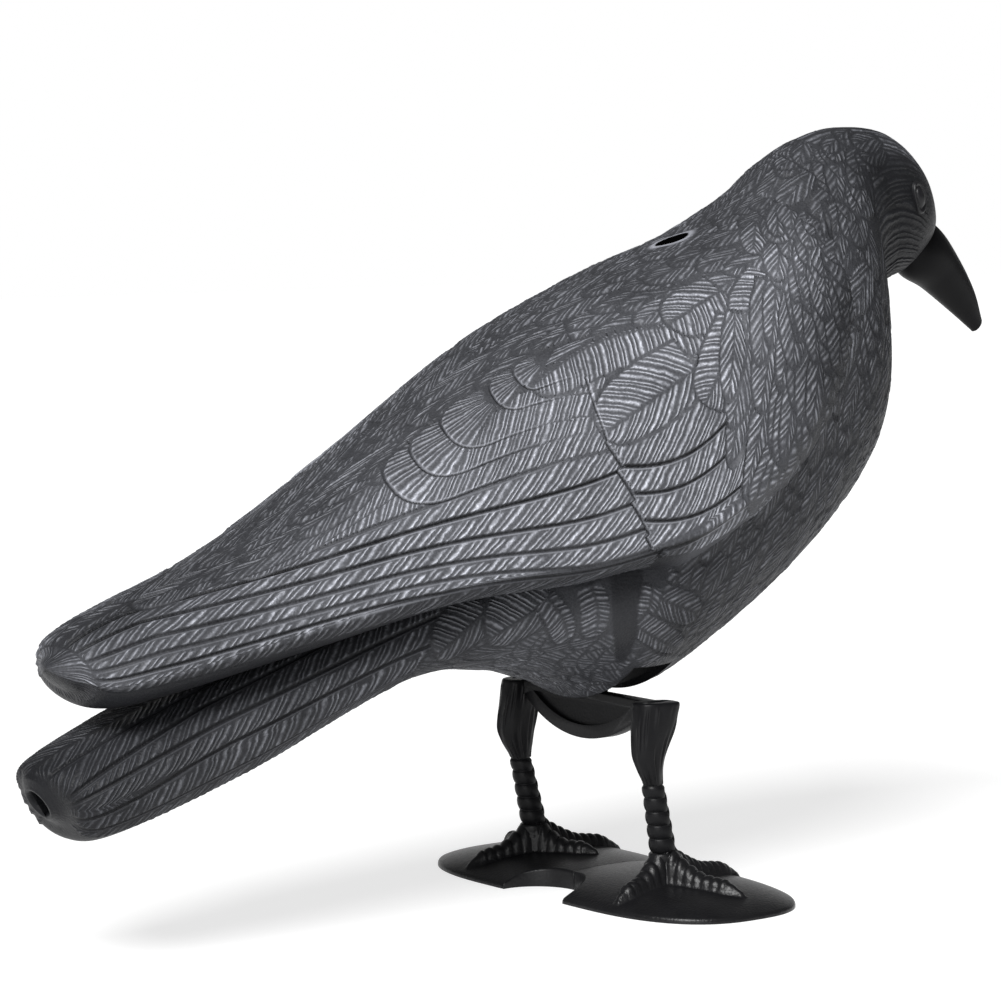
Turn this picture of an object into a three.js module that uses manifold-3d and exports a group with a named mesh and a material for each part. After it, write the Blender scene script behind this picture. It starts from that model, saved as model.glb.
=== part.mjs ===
// A life-size crow decoy that stands on a weighted base: moulded bird, leg bracket and base plate.
// Millimetres, +X towards the beak, +Z up, origin at the middle of the base's underside.
import * as THREE from 'three';
import { mergeVertices } from 'three/addons/utils/BufferGeometryUtils.js';
import Module from 'manifold-3d';

const wasm = await Module();
wasm.setup();

// Bird
const birdLength = 397;            // beak tip to tail end
const drawnLength = 397;           // length at which the bird's sections below are drawn
const featherStep = 1.1;           // height of one feather's edge above the next
const coverStep = 1.3;             // height of the covert feathers' edge above the flight feathers
const eyeRadius = 4.6;
const eyeHeight = 1.6;             // how far the eye stands out of the head
const backSlotLength = 14;
const backSlotWidth = 8;
const backSlotDepth = 14;
const tailHoleDiameter = 8.6;
const tailHoleDepth = 20;
const featherSunk = 1.6;           // how deep a covert feather is rooted in the wing

// Leg bracket
const seatX = -11;                 // middle of the legs' flat tops
const seatHeight = 67;             // the legs' flat tops above the ground
const legSpacing = 71.5;           // between the middles of the two flat tops
const thighLength = 14.6;          // fore-and-aft, at the flat top
const thighWidth = 10;
const thighHeight = 27;            // flat top down to the first ring
const shankTopLength = 6.4;
const shankTopWidth = 6;
const shankEndLength = 8;
const shankEndWidth = 7.2;
const shankRings = 5;
const ringDepth = 0.6;
const shankSlope = 5.3;            // how far forward the ankle lies of the knee
const kneeSetback = 0.7;           // how far the knee lies behind the middle of the flat top
const thighBulge = 2.5;            // how far the calf lies behind the middle of the flat top
const kneeInset = 0.9;             // how far the knee lies inside the middle of the flat top
const ankleInset = 1.75;           // how far the ankle lies inside it
const bridgeThickness = 5;
const bridgeDepth = 16;            // flat top down to the lowest point of the arc
const archInset = 0.65;            // from a leg's middle in to where the arc would meet the flat top
const bridgeRim = 4.4;
const bridgeRecess = 1.6;
const bridgeTopRim = 3;
const tabWidth = 16;               // upright tab on the bridge that goes up into the belly
const tabHeight = 19.5;

// Base plate
const lobeLength = 68;             // each lobe, fore-and-aft
const lobeWidth = 100;             // each lobe, side to side
const lobeOffset = 24;             // lobe centre to the middle of the plate
const lobePower = 2.6;             // 2 is an ellipse, more is squarer
const rimHeight = 1.4;
const domeHeight = 7.8;
const baseNotchRadius = 15.6;
const baseNotchInset = 2;          // notch centre in from the plate's rear edge
const ankleHeight = 17;
const toeHeight = 4.2;
const toeWidth = 6.4;
const clawSize = 1.6;

// Fits
const fitGap = 0.3;                // between pieces that touch
const channelClearance = 1.9;      // belly channel beyond the legs' flat tops, front and rear
const channelHeight = 11.8;        // belly channel's ceiling above the legs' flat tops

const birdScale = birdLength / drawnLength;
const legY = legSpacing / 2;
const kneeX = seatX - kneeSetback;
const ankleX = kneeX + shankSlope;
const ankleY = legY - ankleInset;
const bridgeRadius = ((legY - archInset) ** 2 + bridgeDepth ** 2) / (2 * bridgeDepth);
const legSides = 12;               // corners round a leg
const up = new THREE.Vector3(0, 0, 1);

// Trunk sections from tail to forehead, measured from the seat on the legs at the drawn length:
// dorsal x, z, ventral x, z, half width, share of the height where it is widest, power above, below.
const trunkSections = [
  [-215, -7.5, -206, -22, 8, 0.5, 2.2, 2.2],
  [-207, -1.5, -196, -27.5, 20.5, 0.5, 2.4, 2.4],
  [-162, 15, -150.5, -12.7, 28, 0.5, 2.5, 2.5],
  [-99, 38, -91, 11.5, 34, 0.45, 2.3, 2.2],
  [-47, 60, -49, 11.5, 42, 0.45, 2.0, 2.1],
  [-17, 75, -20, 4, 46.5, 0.45, 1.8, 2.0],
  [9, 94, 4, -2, 48.5, 0.45, 1.7, 1.9],
  [44, 126, 62, 29.5, 49.5, 0.45, 1.7, 2.0],
  [71, 165.3, 103, 64.8, 43.5, 0.42, 1.9, 2.1],
  [86, 178, 119.5, 102, 30, 0.45, 2.0, 2.1],
  [98, 183.7, 120, 123, 22.5, 0.5, 2.0, 2.1],
  [111, 186.2, 128, 131, 20, 0.52, 2.0, 2.1],
  [129.4, 184.6, 132, 133, 19, 0.52, 2.0, 2.1],
  [144.5, 174.4, 138, 135, 16, 0.52, 2.0, 2.1],
  [153, 160, 143, 139, 11, 0.5, 2.0, 2.0],
  [155, 152, 149, 145, 5, 0.5, 2.0, 2.0],
];

// The folded wings and back as one saddle, from wing tips to shoulders, in the same columns.
const wingSections = [
  [-207, 28, -201, 17.5, 10, 0.4, 2.1, 2.0],
  [-195, 37, -189, 12, 25.5, 0.4, 2.2, 2.0],
  [-139, 57, -132, 24, 39, 0.35, 2.2, 2.2],
  [-89, 86.2, -84, 35.5, 48, 0.2, 2.2, 2.4],
  [-39, 118.6, -37, 40, 54, 0.12, 2.2, 2.4],
  [6, 138.5, 6, 48, 55.5, 0.15, 2.2, 2.4],
  [43, 150.3, 49, 70, 53, 0.25, 2.2, 2.2],
  [69, 160.3, 76, 97, 41, 0.4, 2.2, 2.2],
  [84, 152, 90, 120, 20, 0.5, 2.2, 2.2],
];

const beakSections = [
  [145, 158, 137, 145, 6, 0.5, 2, 2],
  [157.5, 151.3, 143.5, 134.5, 9.2, 0.5, 2, 2],
  [167.5, 141, 154.5, 129, 7.6, 0.5, 2, 2],
  [176.5, 129, 168.5, 120, 4.8, 0.5, 2, 2],
  [181.5, 118, 178, 113.5, 2.4, 0.5, 2, 2],
];

// Sections at which rings are laid, more of them where the shape turns fast.
const trunkStops = spread(0, 1, 4).concat(spread(1, 15, 29).slice(1));
const wingStops = [0, 0.15, 0.35, 0.65, 1, 1.4, 1.8, 2.2, 2.6, 3, 3.4, 3.8, 4.18, 4.26]
  .concat(spread(4.6, 8, 10));
const beakStops = spread(0, 4, 11);

// Edges of the long wing feathers as angles round a wing section: where the coverts end, and how
// much nearer to the back each one lies near the wing tip. The power gathers them late.
const flightEdges = [[70, 50], [79, 43], [85.5, 31], [90, 20], [104, 17]];
const flightGatherPower = 2.2;
const flightTipStop = 1.4;
const coverEdgeStop = 4.22;

// Edges of the tail feathers as angles round a trunk section, and the section where they fade out.
const tailEdges = [48, 70, 92, 114];
const tailEdgeStop = 3.5;
const edgeTurn = 0.7;              // half the angle over which an edge drops

// Large feathers of the upper wing, root and tip as section number and angle, then half width.
const coverFeathers = [
  [4.4, 40, 2.8, 29, 13],
  [4.7, 38, 3.3, 29, 13],
  [5.0, 36, 3.75, 29, 13],
  [5.2, 58, 4.0, 56, 13],
  [5.7, 40, 4.4, 38, 13],
  [6.4, 48, 5.2, 52, 13],
];

// Where things lie on the bird, as section number and angle from the back down the side.
const eyePlace = [12.3, 74];
const backSlotPlace = [5.8, 0];

// Toes of one foot: where each tip lies, forward and outward from the ankle.
const toeTips = [[35.4, -3], [10.4, 28.5], [-24.6, 5.5], [11.4, -20.5]];

function spread(from, to, count) {
  return Array.from({ length: count }, (_, i) => from + ((to - from) * i) / (count - 1));
}

function mix(a, b, share) {
  return a + (b - a) * share;
}

function signedPower(value, power) {
  return Math.sign(value) * Math.abs(value) ** power;
}

// A smooth curve through the rows of a table: row k at t = k, every column by itself.
function sectionAt(rows, t) {
  const last = rows.length - 1;
  const k = Math.min(Math.floor(t), last - 1);
  const f = t - k;
  const before = rows[k - 1] ?? rows[0].map((value, i) => 2 * value - rows[1][i]);
  const after = rows[k + 2] ?? rows[last].map((value, i) => 2 * value - rows[last - 1][i]);
  return rows[k].map((b, i) => {
    const [a, c, d] = [before[i], rows[k + 1][i], after[i]];
    return 0.5 * (2 * b + (c - a) * f + (2 * a - 5 * b + 4 * c - d) * f * f
      + (3 * b - a - 3 * c + d) * f * f * f);
  });
}

// A point on a section's outline. The angle runs from the back (0) down the right side; rise
// lifts the point outwards.
function outlinePoint(section, angle, rise = 0) {
  const [dorsalX, dorsalZ, ventralX, ventralZ, halfWidth, widest, above, below] = section;
  const c = Math.cos(angle);
  const s = Math.sin(angle);
  const power = 2 / (c >= 0 ? above : below);
  const tall = signedPower(c, power);
  const wide = signedPower(s, power);
  const share = widest + tall * (tall >= 0 ? 1 - widest : widest);
  const axis = new THREE.Vector3(dorsalX - ventralX, 0, dorsalZ - ventralZ);
  const outward = axis.clone().normalize().multiplyScalar(c).add(new THREE.Vector3(0, -s, 0));
  return new THREE.Vector3(ventralX, -halfWidth * wide, ventralZ)
    .addScaledVector(axis, share)
    .addScaledVector(outward, rise)
    .multiplyScalar(birdScale)
    .add(new THREE.Vector3(seatX, 0, seatHeight));
}

// Closes a stack of rings, each with the same number of points, into a solid.
function solidFromRings(rings) {
  const count = rings[0].length;
  const points = rings.flat();
  const triangles = [];
  for (let r = 0; r < rings.length - 1; r += 1) {
    for (let i = 0; i < count; i += 1) {
      const a = r * count + i;
      const b = r * count + ((i + 1) % count);
      triangles.push([a, b + count, a + count], [a, b, b + count]);
    }
  }
  for (const [ring, first] of [[rings[0], true], [rings.at(-1), false]]) {
    const start = first ? 0 : (rings.length - 1) * count;
    const middle = ring.reduce((sum, p) => sum.add(p), new THREE.Vector3()).divideScalar(count);
    const hub = first ? rings.length * count : rings.length * count + 1;
    points[hub] = middle;
    for (let i = 0; i < count; i += 1) {
      const a = start + i;
      const b = start + ((i + 1) % count);
      triangles.push(first ? [hub, b, a] : [hub, a, b]);
    }
  }
  return solidFromTriangles(points, triangles);
}

function solidFromTriangles(points, triangles) {
  const geometry = new THREE.BufferGeometry().setFromPoints(points);
  geometry.setIndex(triangles.flat());
  return solidFromGeometry(geometry);
}

function solidFromGeometry(source) {
  const geometry = source.index && !source.attributes.normal ? source : source.clone();
  geometry.deleteAttribute('normal');
  geometry.deleteAttribute('uv');
  const merged = mergeVertices(geometry, 1e-4);
  const position = merged.attributes.position.array;
  const mesh = new wasm.Mesh({
    numProp: 3,
    vertProperties: new Float32Array(position),
    triVerts: new Uint32Array(merged.index.array),
  });
  const solid = new wasm.Manifold(mesh);
  if (solid.volume() > 0) {
    return solid;
  }
  const flipped = [];
  for (let i = 0; i < merged.index.count; i += 3) {
    flipped.push(merged.index.array[i], merged.index.array[i + 2], merged.index.array[i + 1]);
  }
  return new wasm.Manifold(new wasm.Mesh({
    numProp: 3,
    vertProperties: new Float32Array(position),
    triVerts: new Uint32Array(flipped),
  }));
}

function joined(solids) {
  return solids.reduce((sum, solid) => sum.add(solid));
}

function movedGeometry(geometry, x, y, z, tilt = 0) {
  return geometry.clone().rotateY(tilt).translate(x, y, z);
}

function namedMesh(name, solid, colour, roughness) {
  const mesh = solid.getMesh();
  const geometry = new THREE.BufferGeometry();
  geometry.setAttribute('position', new THREE.BufferAttribute(new Float32Array(mesh.vertProperties), 3));
  geometry.setIndex(Array.from(mesh.triVerts));
  const material = new THREE.MeshStandardMaterial({ color: colour, roughness, metalness: 0 });
  const piece = new THREE.Mesh(geometry, material);
  piece.name = name;
  return piece;
}

// Angle of one flight feather's edge at a section: the edges crowd towards the back at the tip.
function flightEdgeAngle([front, drop], t) {
  const rearward = Math.max(0, (coverEdgeStop - t) / (coverEdgeStop - flightTipStop));
  return front - drop * Math.min(rearward ** flightGatherPower, 1.15);
}

// One half ring as [angle, rise] pairs, from the back to the underside. Each feather is highest
// at its own lower edge, where it drops onto the next.
function wingHalfRing(t) {
  const edges = flightEdges.map((edge) => flightEdgeAngle(edge, t));
  const covered = t > coverEdgeStop;
  const step = covered ? 0 : featherStep;
  const cover = covered ? coverStep : 0;
  const pairs = spread(0, edges[0], 6).slice(0, -1).map((angle) => [angle, cover * (angle / edges[0])]);
  for (const edge of edges) {
    pairs.push([edge - edgeTurn, Math.max(step, cover)], [edge + edgeTurn, cover]);
  }
  pairs.at(-1)[1] = 0;
  return pairs.concat(spread(edges.at(-1) + 8, 180, 5).map((angle) => [angle, 0]));
}

function tailHalfRing(t) {
  const step = featherStep * THREE.MathUtils.clamp((tailEdgeStop - t) / 0.6, 0, 1);
  const pairs = spread(0, tailEdges[0], 5).slice(0, -1).map((angle) => [angle, 0]);
  for (const edge of tailEdges) {
    pairs.push([edge - edgeTurn, step], [edge + edgeTurn, 0]);
  }
  return pairs.concat(spread(tailEdges.at(-1) + 13, 180, 5).map((angle) => [angle, 0]));
}

function plainHalfRing(count) {
  return spread(0, 180, count).map((angle) => [angle, 0]);
}

function loft(sections, stops, halfRingAt) {
  const rings = stops.map((t) => {
    const half = halfRingAt(t);
    const other = half.slice(1, -1).reverse().map(([angle, rise]) => [360 - angle, rise]);
    const section = sectionAt(sections, t);
    return half.concat(other).map(([angle, rise]) => (
      outlinePoint(section, THREE.MathUtils.degToRad(angle), rise)));
  });
  return solidFromRings(rings);
}

// One large feather laid on the wing: round-tipped, sunk into the wing at its root.
function coverFeather([rootT, rootAngle, tipT, tipAngle, halfWidth], side) {
  const rings = spread(0, 1, 6).map((along) => {
    const t = mix(rootT, tipT, along);
    const angle = mix(rootAngle, tipAngle, along);
    const width = Math.max(0.3, Math.sqrt(1 - Math.max(0, along * 2 - 1) ** 2));
    const lift = featherStep * mix(-0.6, 1.5, along);
    const section = sectionAt(wingSections, t);
    const radius = outlinePoint(section, THREE.MathUtils.degToRad(angle)).distanceTo(
      outlinePoint(section, THREE.MathUtils.degToRad(angle + 1)));
    const turn = (halfWidth * birdScale * width) / radius;
    return [[-1, 0.5], [0, 1], [1, 0.5]].map(([across, rise]) => [angle + across * turn, lift * rise])
      .concat([1, 0, -1].map((across) => [angle + across * turn, -featherSunk]))
      .map(([a, rise]) => outlinePoint(section, THREE.MathUtils.degToRad(side * a), rise));
  });
  return solidFromRings(rings);
}

function crowBody() {
  const trunk = loft(trunkSections, trunkStops, tailHalfRing);
  const wings = loft(wingSections, wingStops, wingHalfRing);
  const beak = loft(beakSections, beakStops, () => plainHalfRing(7));
  const feathers = [1, -1].flatMap((side) => coverFeathers.map((row) => coverFeather(row, side)));
  const headSection = sectionAt(trunkSections, eyePlace[0]);
  const eyes = [1, -1].map((side) => {
    const place = outlinePoint(headSection, THREE.MathUtils.degToRad(side * eyePlace[1]));
    const ball = new THREE.SphereGeometry(eyeRadius, 14, 9).scale(1, eyeHeight / eyeRadius, 1);
    return solidFromGeometry(ball.translate(place.x, place.y, place.z));
  });
  const bird = joined([trunk, wings, beak, ...feathers, ...eyes]);
  return bird.subtract(bellyChannel()).subtract(tabSocket()).subtract(backSlot()).subtract(tailHole());
}

// The straight channel across the belly that takes the bridge between the legs.
function bellyChannel() {
  const length = thighLength + 2 * channelClearance;
  const block = new THREE.BoxGeometry(length, birdLength, channelHeight + bridgeDepth);
  return solidFromGeometry(movedGeometry(block, seatX, 0, seatHeight + (channelHeight - bridgeDepth) / 2));
}

// The socket in the channel's ceiling that holds the bracket's tab.
function tabSocket() {
  const depth = tabHeight + fitGap;
  const block = new THREE.BoxGeometry(bridgeThickness + 2 * fitGap, tabWidth + 2 * fitGap, depth);
  return solidFromGeometry(movedGeometry(block, seatX, 0, seatHeight + depth / 2));
}

// A blind slot with round ends on the ridge of the back, square to the surface.
function backSlot() {
  const [place, angle] = backSlotPlace;
  const here = outlinePoint(sectionAt(wingSections, place), angle);
  const ahead = outlinePoint(sectionAt(wingSections, place + 0.1), angle);
  const slope = Math.atan2(ahead.z - here.z, ahead.x - here.x);
  const radius = backSlotWidth / 2;
  const straight = (backSlotLength - backSlotWidth) / 2;
  const outline = new THREE.Shape();
  outline.absarc(straight, 0, radius, -Math.PI / 2, Math.PI / 2);
  outline.absarc(-straight, 0, radius, Math.PI / 2, (3 * Math.PI) / 2);
  const prism = new THREE.ExtrudeGeometry(outline, {
    depth: backSlotDepth * 2, bevelEnabled: false, curveSegments: 6,
  }).translate(0, 0, -backSlotDepth);
  return solidFromGeometry(movedGeometry(prism, here.x, here.y, here.z, -slope));
}

// A blind round hole in the tail's end, along the tail.
function tailHole() {
  const end = sectionAt(trunkSections, 0);
  const middle = outlinePoint(end, Math.PI / 2);
  const tilt = Math.atan2(end[0] - end[2], end[1] - end[3]);
  const bore = new THREE.CylinderGeometry(tailHoleDiameter / 2, tailHoleDiameter / 2, tailHoleDepth * 2, 14)
    .rotateZ(Math.PI / 2);
  return solidFromGeometry(movedGeometry(bore, middle.x, 0, middle.z, tilt));
}

// An oval ring in a level plane, squared by its power and sheared sideways as it goes forward.
function ovalRing(x, y, z, halfLength, halfWidth, power = 2, shear = 0) {
  return spread(0, 2 * Math.PI, legSides + 1).slice(0, -1).map((angle) => {
    const forward = halfLength * signedPower(Math.cos(angle), 2 / power);
    const across = halfWidth * signedPower(Math.sin(angle), 2 / power);
    return new THREE.Vector3(x + forward, y + across + shear * forward, z);
  });
}

// Thigh with a flat top and a bulge behind, then a shank of stacked rings down to the ankle.
function leg(side) {
  const kneeZ = seatHeight - thighHeight;

  // Shares of the way down, of the calf's bulge and of the knee's inset, then of the flat top's
  // length and width, and the section's sideways lean outwards for each unit forward.
  const thigh = [
    [0, 0, 0, 0.96, 0.96, 0.2],
    [0.03, 0, 0, 1, 1, 0.2],
    [0.3, 0.45, 0.5, 1, 1, 0.1],
    [0.5, 0.85, 0.85, 0.93, 0.97, -0.05],
    [0.66, 1, 1, 0.86, 0.9, -0.12],
    [0.83, 0.72, 1, 0.68, 0.77, -0.17],
    [1, kneeSetback / thighBulge, 1, shankTopLength / thighLength, shankTopWidth / thighWidth, -0.1],
  ].map(([down, back, inset, long, wide, lean]) => ovalRing(seatX - back * thighBulge,
    side * (legY - inset * kneeInset), mix(seatHeight, kneeZ, down),
    (long * thighLength) / 2, (wide * thighWidth) / 2, mix(2.8, 2, down), side * lean));
  const ringHeight = (kneeZ - ankleHeight) / shankRings;
  const shank = [];
  for (let i = 0; i < shankRings; i += 1) {
    for (const [part, swell] of [[0.05, 0], [0.3, 1], [0.85, 0.8]]) {
      const down = (i + part) / shankRings;
      shank.push(ovalRing(mix(kneeX, ankleX, down), side * mix(legY - kneeInset, ankleY, down),
        kneeZ - (i + part) * ringHeight,
        mix(shankTopLength, shankEndLength, down) / 2 + swell * ringDepth,
        mix(shankTopWidth, shankEndWidth, down) / 2 + swell * ringDepth));
    }
  }
  shank.push(ovalRing(ankleX, side * ankleY, ankleHeight, shankEndLength / 2, shankEndWidth / 2));
  return solidFromRings(thigh.concat(shank));
}

// The plate between the legs: flat top, arc below, a recess behind, and the tab on top.
function bridge() {
  const half = legY - thighWidth / 4;
  const arcCentre = bridgeRadius - bridgeDepth;
  const arcAt = (y, radius) => arcCentre - Math.sqrt(radius ** 2 - y ** 2);
  const outline = new THREE.Shape();
  outline.moveTo(-half, 0);
  spread(-half, half, 17).forEach((y) => outline.lineTo(y, arcAt(y, bridgeRadius)));
  outline.lineTo(half, 0);
  outline.lineTo(tabWidth / 2, 0);
  outline.lineTo(tabWidth / 2, tabHeight);
  outline.lineTo(-tabWidth / 2, tabHeight);
  outline.lineTo(-tabWidth / 2, 0);
  const inner = bridgeRadius - bridgeRim;
  const recessHalf = Math.sqrt(inner ** 2 - (arcCentre + bridgeTopRim) ** 2);
  const recess = new THREE.Shape();
  spread(-recessHalf, recessHalf, 13).forEach((y, i) => {
    const z = arcAt(y, inner);
    if (i === 0) recess.moveTo(y, z);
    else recess.lineTo(y, z);
  });
  const upright = (shape, depth, x) => solidFromGeometry(
    new THREE.ExtrudeGeometry(shape, { depth, bevelEnabled: false })
      .rotateX(Math.PI / 2).rotateZ(Math.PI / 2).translate(x, 0, seatHeight));
  const rear = seatX - bridgeThickness / 2;
  return upright(outline, bridgeThickness, rear).subtract(
    upright(recess, bridgeThickness, rear + bridgeRecess - bridgeThickness));
}

function legBracket() {
  return joined([bridge(), leg(1), leg(-1)]);
}

// Distance from a lobe's centre as a share of the way to its rim.
function lobeShare(x, y, side) {
  const along = Math.abs((2 * x) / lobeLength) ** lobePower;
  const across = Math.abs((2 * (y - side * lobeOffset)) / lobeWidth) ** lobePower;
  return (along + across) ** (1 / lobePower);
}

function baseTop(x, y) {
  const share = Math.min(1, lobeShare(x, y, 1), lobeShare(x, y, -1));
  return rimHeight + (domeHeight - rimHeight) * (1 - share ** 2.4) ** 0.8;
}

function rimRadius(angle) {
  let near = 0;
  let far = lobeLength + lobeWidth + lobeOffset;
  for (let i = 0; i < 40; i += 1) {
    const middle = (near + far) / 2;
    const x = middle * Math.cos(angle);
    const y = middle * Math.sin(angle);
    const inside = Math.min(lobeShare(x, y, 1), lobeShare(x, y, -1)) < 1;
    if (inside) near = middle;
    else far = middle;
  }
  return near;
}

function plate() {
  const turns = spread(0, 2 * Math.PI, 45).slice(0, -1);
  const rims = turns.map(rimRadius);
  const ringAt = (share, heightAt) => turns.map((angle, i) => {
    const x = share * rims[i] * Math.cos(angle);
    const y = share * rims[i] * Math.sin(angle);
    return new THREE.Vector3(x, y, heightAt(x, y));
  });
  const shares = [1, 0.98, 0.91, 0.76, 0.54, 0.3, 0.08];
  const rings = [ringAt(1, () => 0), ...shares.map((s) => ringAt(s, baseTop))];
  return solidFromRings(rings);
}

// A ringed toe from the foot's hub down to a claw that lies on the dome.
function toe([forward, outward], side) {
  const root = new THREE.Vector3(ankleX, side * ankleY, 0);
  const tip = new THREE.Vector3(ankleX + forward, side * (ankleY + outward), 0);
  const across = tip.clone().sub(root).normalize().cross(up);
  const rings = spread(0, 1, 11).map((along, i) => {
    const place = root.clone().lerp(tip, along);
    const ridge = i % 2 === 0 ? 1 : 0.86;
    const claw = Math.max(0, (along - 0.78) / 0.22);
    const halfWidth = mix((toeWidth / 2) * mix(1.15, 0.8, along), clawSize / 2, claw) * ridge;
    const height = mix(toeHeight * mix(1.7, 0.85, Math.min(1, along * 2.2)), clawSize * 0.7, claw) * ridge;
    const ground = baseTop(place.x, place.y);
    return spread(0, Math.PI, 5).map((angle) => place.clone()
      .addScaledVector(across, halfWidth * Math.cos(angle))
      .setZ(ground + height * Math.sin(angle)))
      .concat([-0.8, 0.8].map((share) => place.clone()
        .addScaledVector(across, halfWidth * share).setZ(ground / 2)));
  });
  return solidFromRings(rings);
}

function footHub(side) {
  const top = ankleHeight - fitGap;
  const levels = [[0, 1, 1], [0.5, 1, 1.02], [0.8, 1.15, 1.2], [1, 1.5, 1.5]];
  return solidFromRings(levels.map(([down, long, wide]) => ovalRing(ankleX, side * ankleY,
    mix(top, domeHeight / 2, down), (long * shankEndLength) / 2, (wide * shankEndWidth) / 2)));
}

function basePlate() {
  const notch = new THREE.CylinderGeometry(baseNotchRadius, baseNotchRadius, 4 * domeHeight, 32)
    .rotateX(Math.PI / 2);
  const cut = solidFromGeometry(movedGeometry(notch, baseNotchInset - lobeLength / 2, 0, 0));
  const feet = [1, -1].flatMap((side) => [footHub(side), ...toeTips.map((tip) => toe(tip, side))]);
  return joined([plate().subtract(cut), ...feet]);
}

const decoy = new THREE.Group();
decoy.add(namedMesh('crow_body', crowBody(), 0x2b2c2f, 0.5));
decoy.add(namedMesh('leg_bracket', legBracket(), 0x17181a, 0.45));
decoy.add(namedMesh('base_plate', basePlate(), 0x17181a, 0.5));

export default decoy;
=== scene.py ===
import bmesh
import bpy
import numpy as np
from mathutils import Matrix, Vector


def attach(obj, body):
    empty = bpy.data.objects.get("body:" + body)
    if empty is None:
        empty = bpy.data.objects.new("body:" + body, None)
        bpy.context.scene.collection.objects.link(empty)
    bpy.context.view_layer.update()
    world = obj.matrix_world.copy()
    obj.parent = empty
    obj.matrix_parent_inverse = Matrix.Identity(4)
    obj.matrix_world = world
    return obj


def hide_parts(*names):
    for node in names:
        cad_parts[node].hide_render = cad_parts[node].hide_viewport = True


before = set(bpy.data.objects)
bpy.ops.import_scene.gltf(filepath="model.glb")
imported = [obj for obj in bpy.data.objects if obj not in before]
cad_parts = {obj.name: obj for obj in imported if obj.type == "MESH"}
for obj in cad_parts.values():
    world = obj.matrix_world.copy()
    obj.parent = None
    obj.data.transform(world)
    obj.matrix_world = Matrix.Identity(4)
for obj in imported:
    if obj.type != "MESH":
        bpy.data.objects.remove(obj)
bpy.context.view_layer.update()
print("frame loaded")

mm = 0.001  # shapes are worked out in millimetres, meshes are in metres
bodyName = "root"

# The bird's sections, measured from the seat on the legs: dorsal x, z, ventral x, z, half width,
# share of the height where it is widest, power above and below that height.
seatX, seatHeight = -11.0, 67.0
trunkSections = np.array([
    [-215, -7.5, -206, -22, 8, 0.5, 2.2, 2.2],
    [-207, -1.5, -196, -27.5, 20.5, 0.5, 2.4, 2.4],
    [-162, 15, -150.5, -12.7, 28, 0.5, 2.5, 2.5],
    [-99, 38, -91, 11.5, 34, 0.45, 2.3, 2.2],
    [-47, 60, -49, 11.5, 42, 0.45, 2.0, 2.1],
    [-17, 75, -20, 4, 46.5, 0.45, 1.8, 2.0],
    [9, 94, 4, -2, 48.5, 0.45, 1.7, 1.9],
    [44, 126, 62, 29.5, 49.5, 0.45, 1.7, 2.0],
    [71, 165.3, 103, 64.8, 43.5, 0.42, 1.9, 2.1],
    [86, 178, 119.5, 102, 30, 0.45, 2.0, 2.1],
    [98, 183.7, 120, 123, 22.5, 0.5, 2.0, 2.1],
    [111, 186.2, 128, 131, 20, 0.52, 2.0, 2.1],
    [129.4, 184.6, 132, 133, 19, 0.52, 2.0, 2.1],
    [144.5, 174.4, 138, 135, 16, 0.52, 2.0, 2.1],
    [153, 160, 143, 139, 11, 0.5, 2.0, 2.0],
    [155, 152, 149, 145, 5, 0.5, 2.0, 2.0],
])
wingSections = np.array([
    [-207, 28, -201, 17.5, 10, 0.4, 2.1, 2.0],
    [-195, 37, -189, 12, 25.5, 0.4, 2.2, 2.0],
    [-139, 57, -132, 24, 39, 0.35, 2.2, 2.2],
    [-89, 86.2, -84, 35.5, 48, 0.2, 2.2, 2.4],
    [-39, 118.6, -37, 40, 54, 0.12, 2.2, 2.4],
    [6, 138.5, 6, 48, 55.5, 0.15, 2.2, 2.4],
    [43, 150.3, 49, 70, 53, 0.25, 2.2, 2.2],
    [69, 160.3, 76, 97, 41, 0.4, 2.2, 2.2],
    [84, 152, 90, 120, 20, 0.5, 2.2, 2.2],
])
beakSections = np.array([
    [145, 158, 137, 145, 6, 0.5, 2, 2],
    [157.5, 151.3, 143.5, 134.5, 9.2, 0.5, 2, 2],
    [167.5, 141, 154.5, 129, 7.6, 0.5, 2, 2],
    [176.5, 129, 168.5, 120, 4.8, 0.5, 2, 2],
    [181.5, 118, 178, 113.5, 2.4, 0.5, 2, 2],
])


def smooth(low, high, value):  # 0 below low, 1 above high, and an S-shaped rise between
    share = np.clip((value - low) / (high - low), 0, 1)
    return share * share * (3 - 2 * share)


def band(value, low, full, fade, high):  # 0 outside low and high, 1 from full to fade
    return smooth(low, full, value) * smooth(high, fade, value)


def rowsAt(table, t):  # the table's rows joined by Catmull-Rom curves, row k at t = k
    rows = np.vstack([2 * table[0] - table[1], table, 2 * table[-1] - table[-2]])
    k = np.clip(np.floor(t).astype(int), 0, len(table) - 2)
    f = (np.asarray(t) - k)[..., None]
    a, b, c, d = (rows[k + step] for step in range(4))
    return 0.5 * (2 * b + (c - a) * f + (2 * a - 5 * b + 4 * c - d) * f**2
                  + (3 * b - a - 3 * c + d) * f**3)


def loftPoint(table, t, angle):  # a point on the superellipse at t, by its angle down the right side
    row = np.moveaxis(rowsAt(table, t), -1, 0)
    c, s = np.cos(angle), np.sin(angle)
    power = 2 / np.where(c >= 0, row[6], row[7])
    tall = np.sign(c) * np.abs(c) ** power
    wide = np.sign(s) * np.abs(s) ** power
    share = row[5] + tall * np.where(tall >= 0, 1 - row[5], row[5])
    x = row[2] + (row[0] - row[2]) * share + seatX
    z = row[3] + (row[1] - row[3]) * share + seatHeight
    return np.stack([x, -row[4] * wide, z], -1)


def unit(vectors):
    return vectors / np.maximum(np.linalg.norm(vectors, axis=-1, keepdims=True), 1e-9)


def evenSteps(points, values, count):  # values at equal lengths along a line of points
    reach = np.concatenate([[0], np.cumsum(np.linalg.norm(np.diff(points, axis=0), axis=1))])
    return np.interp(np.linspace(0, reach[-1], count), reach, values)


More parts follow.
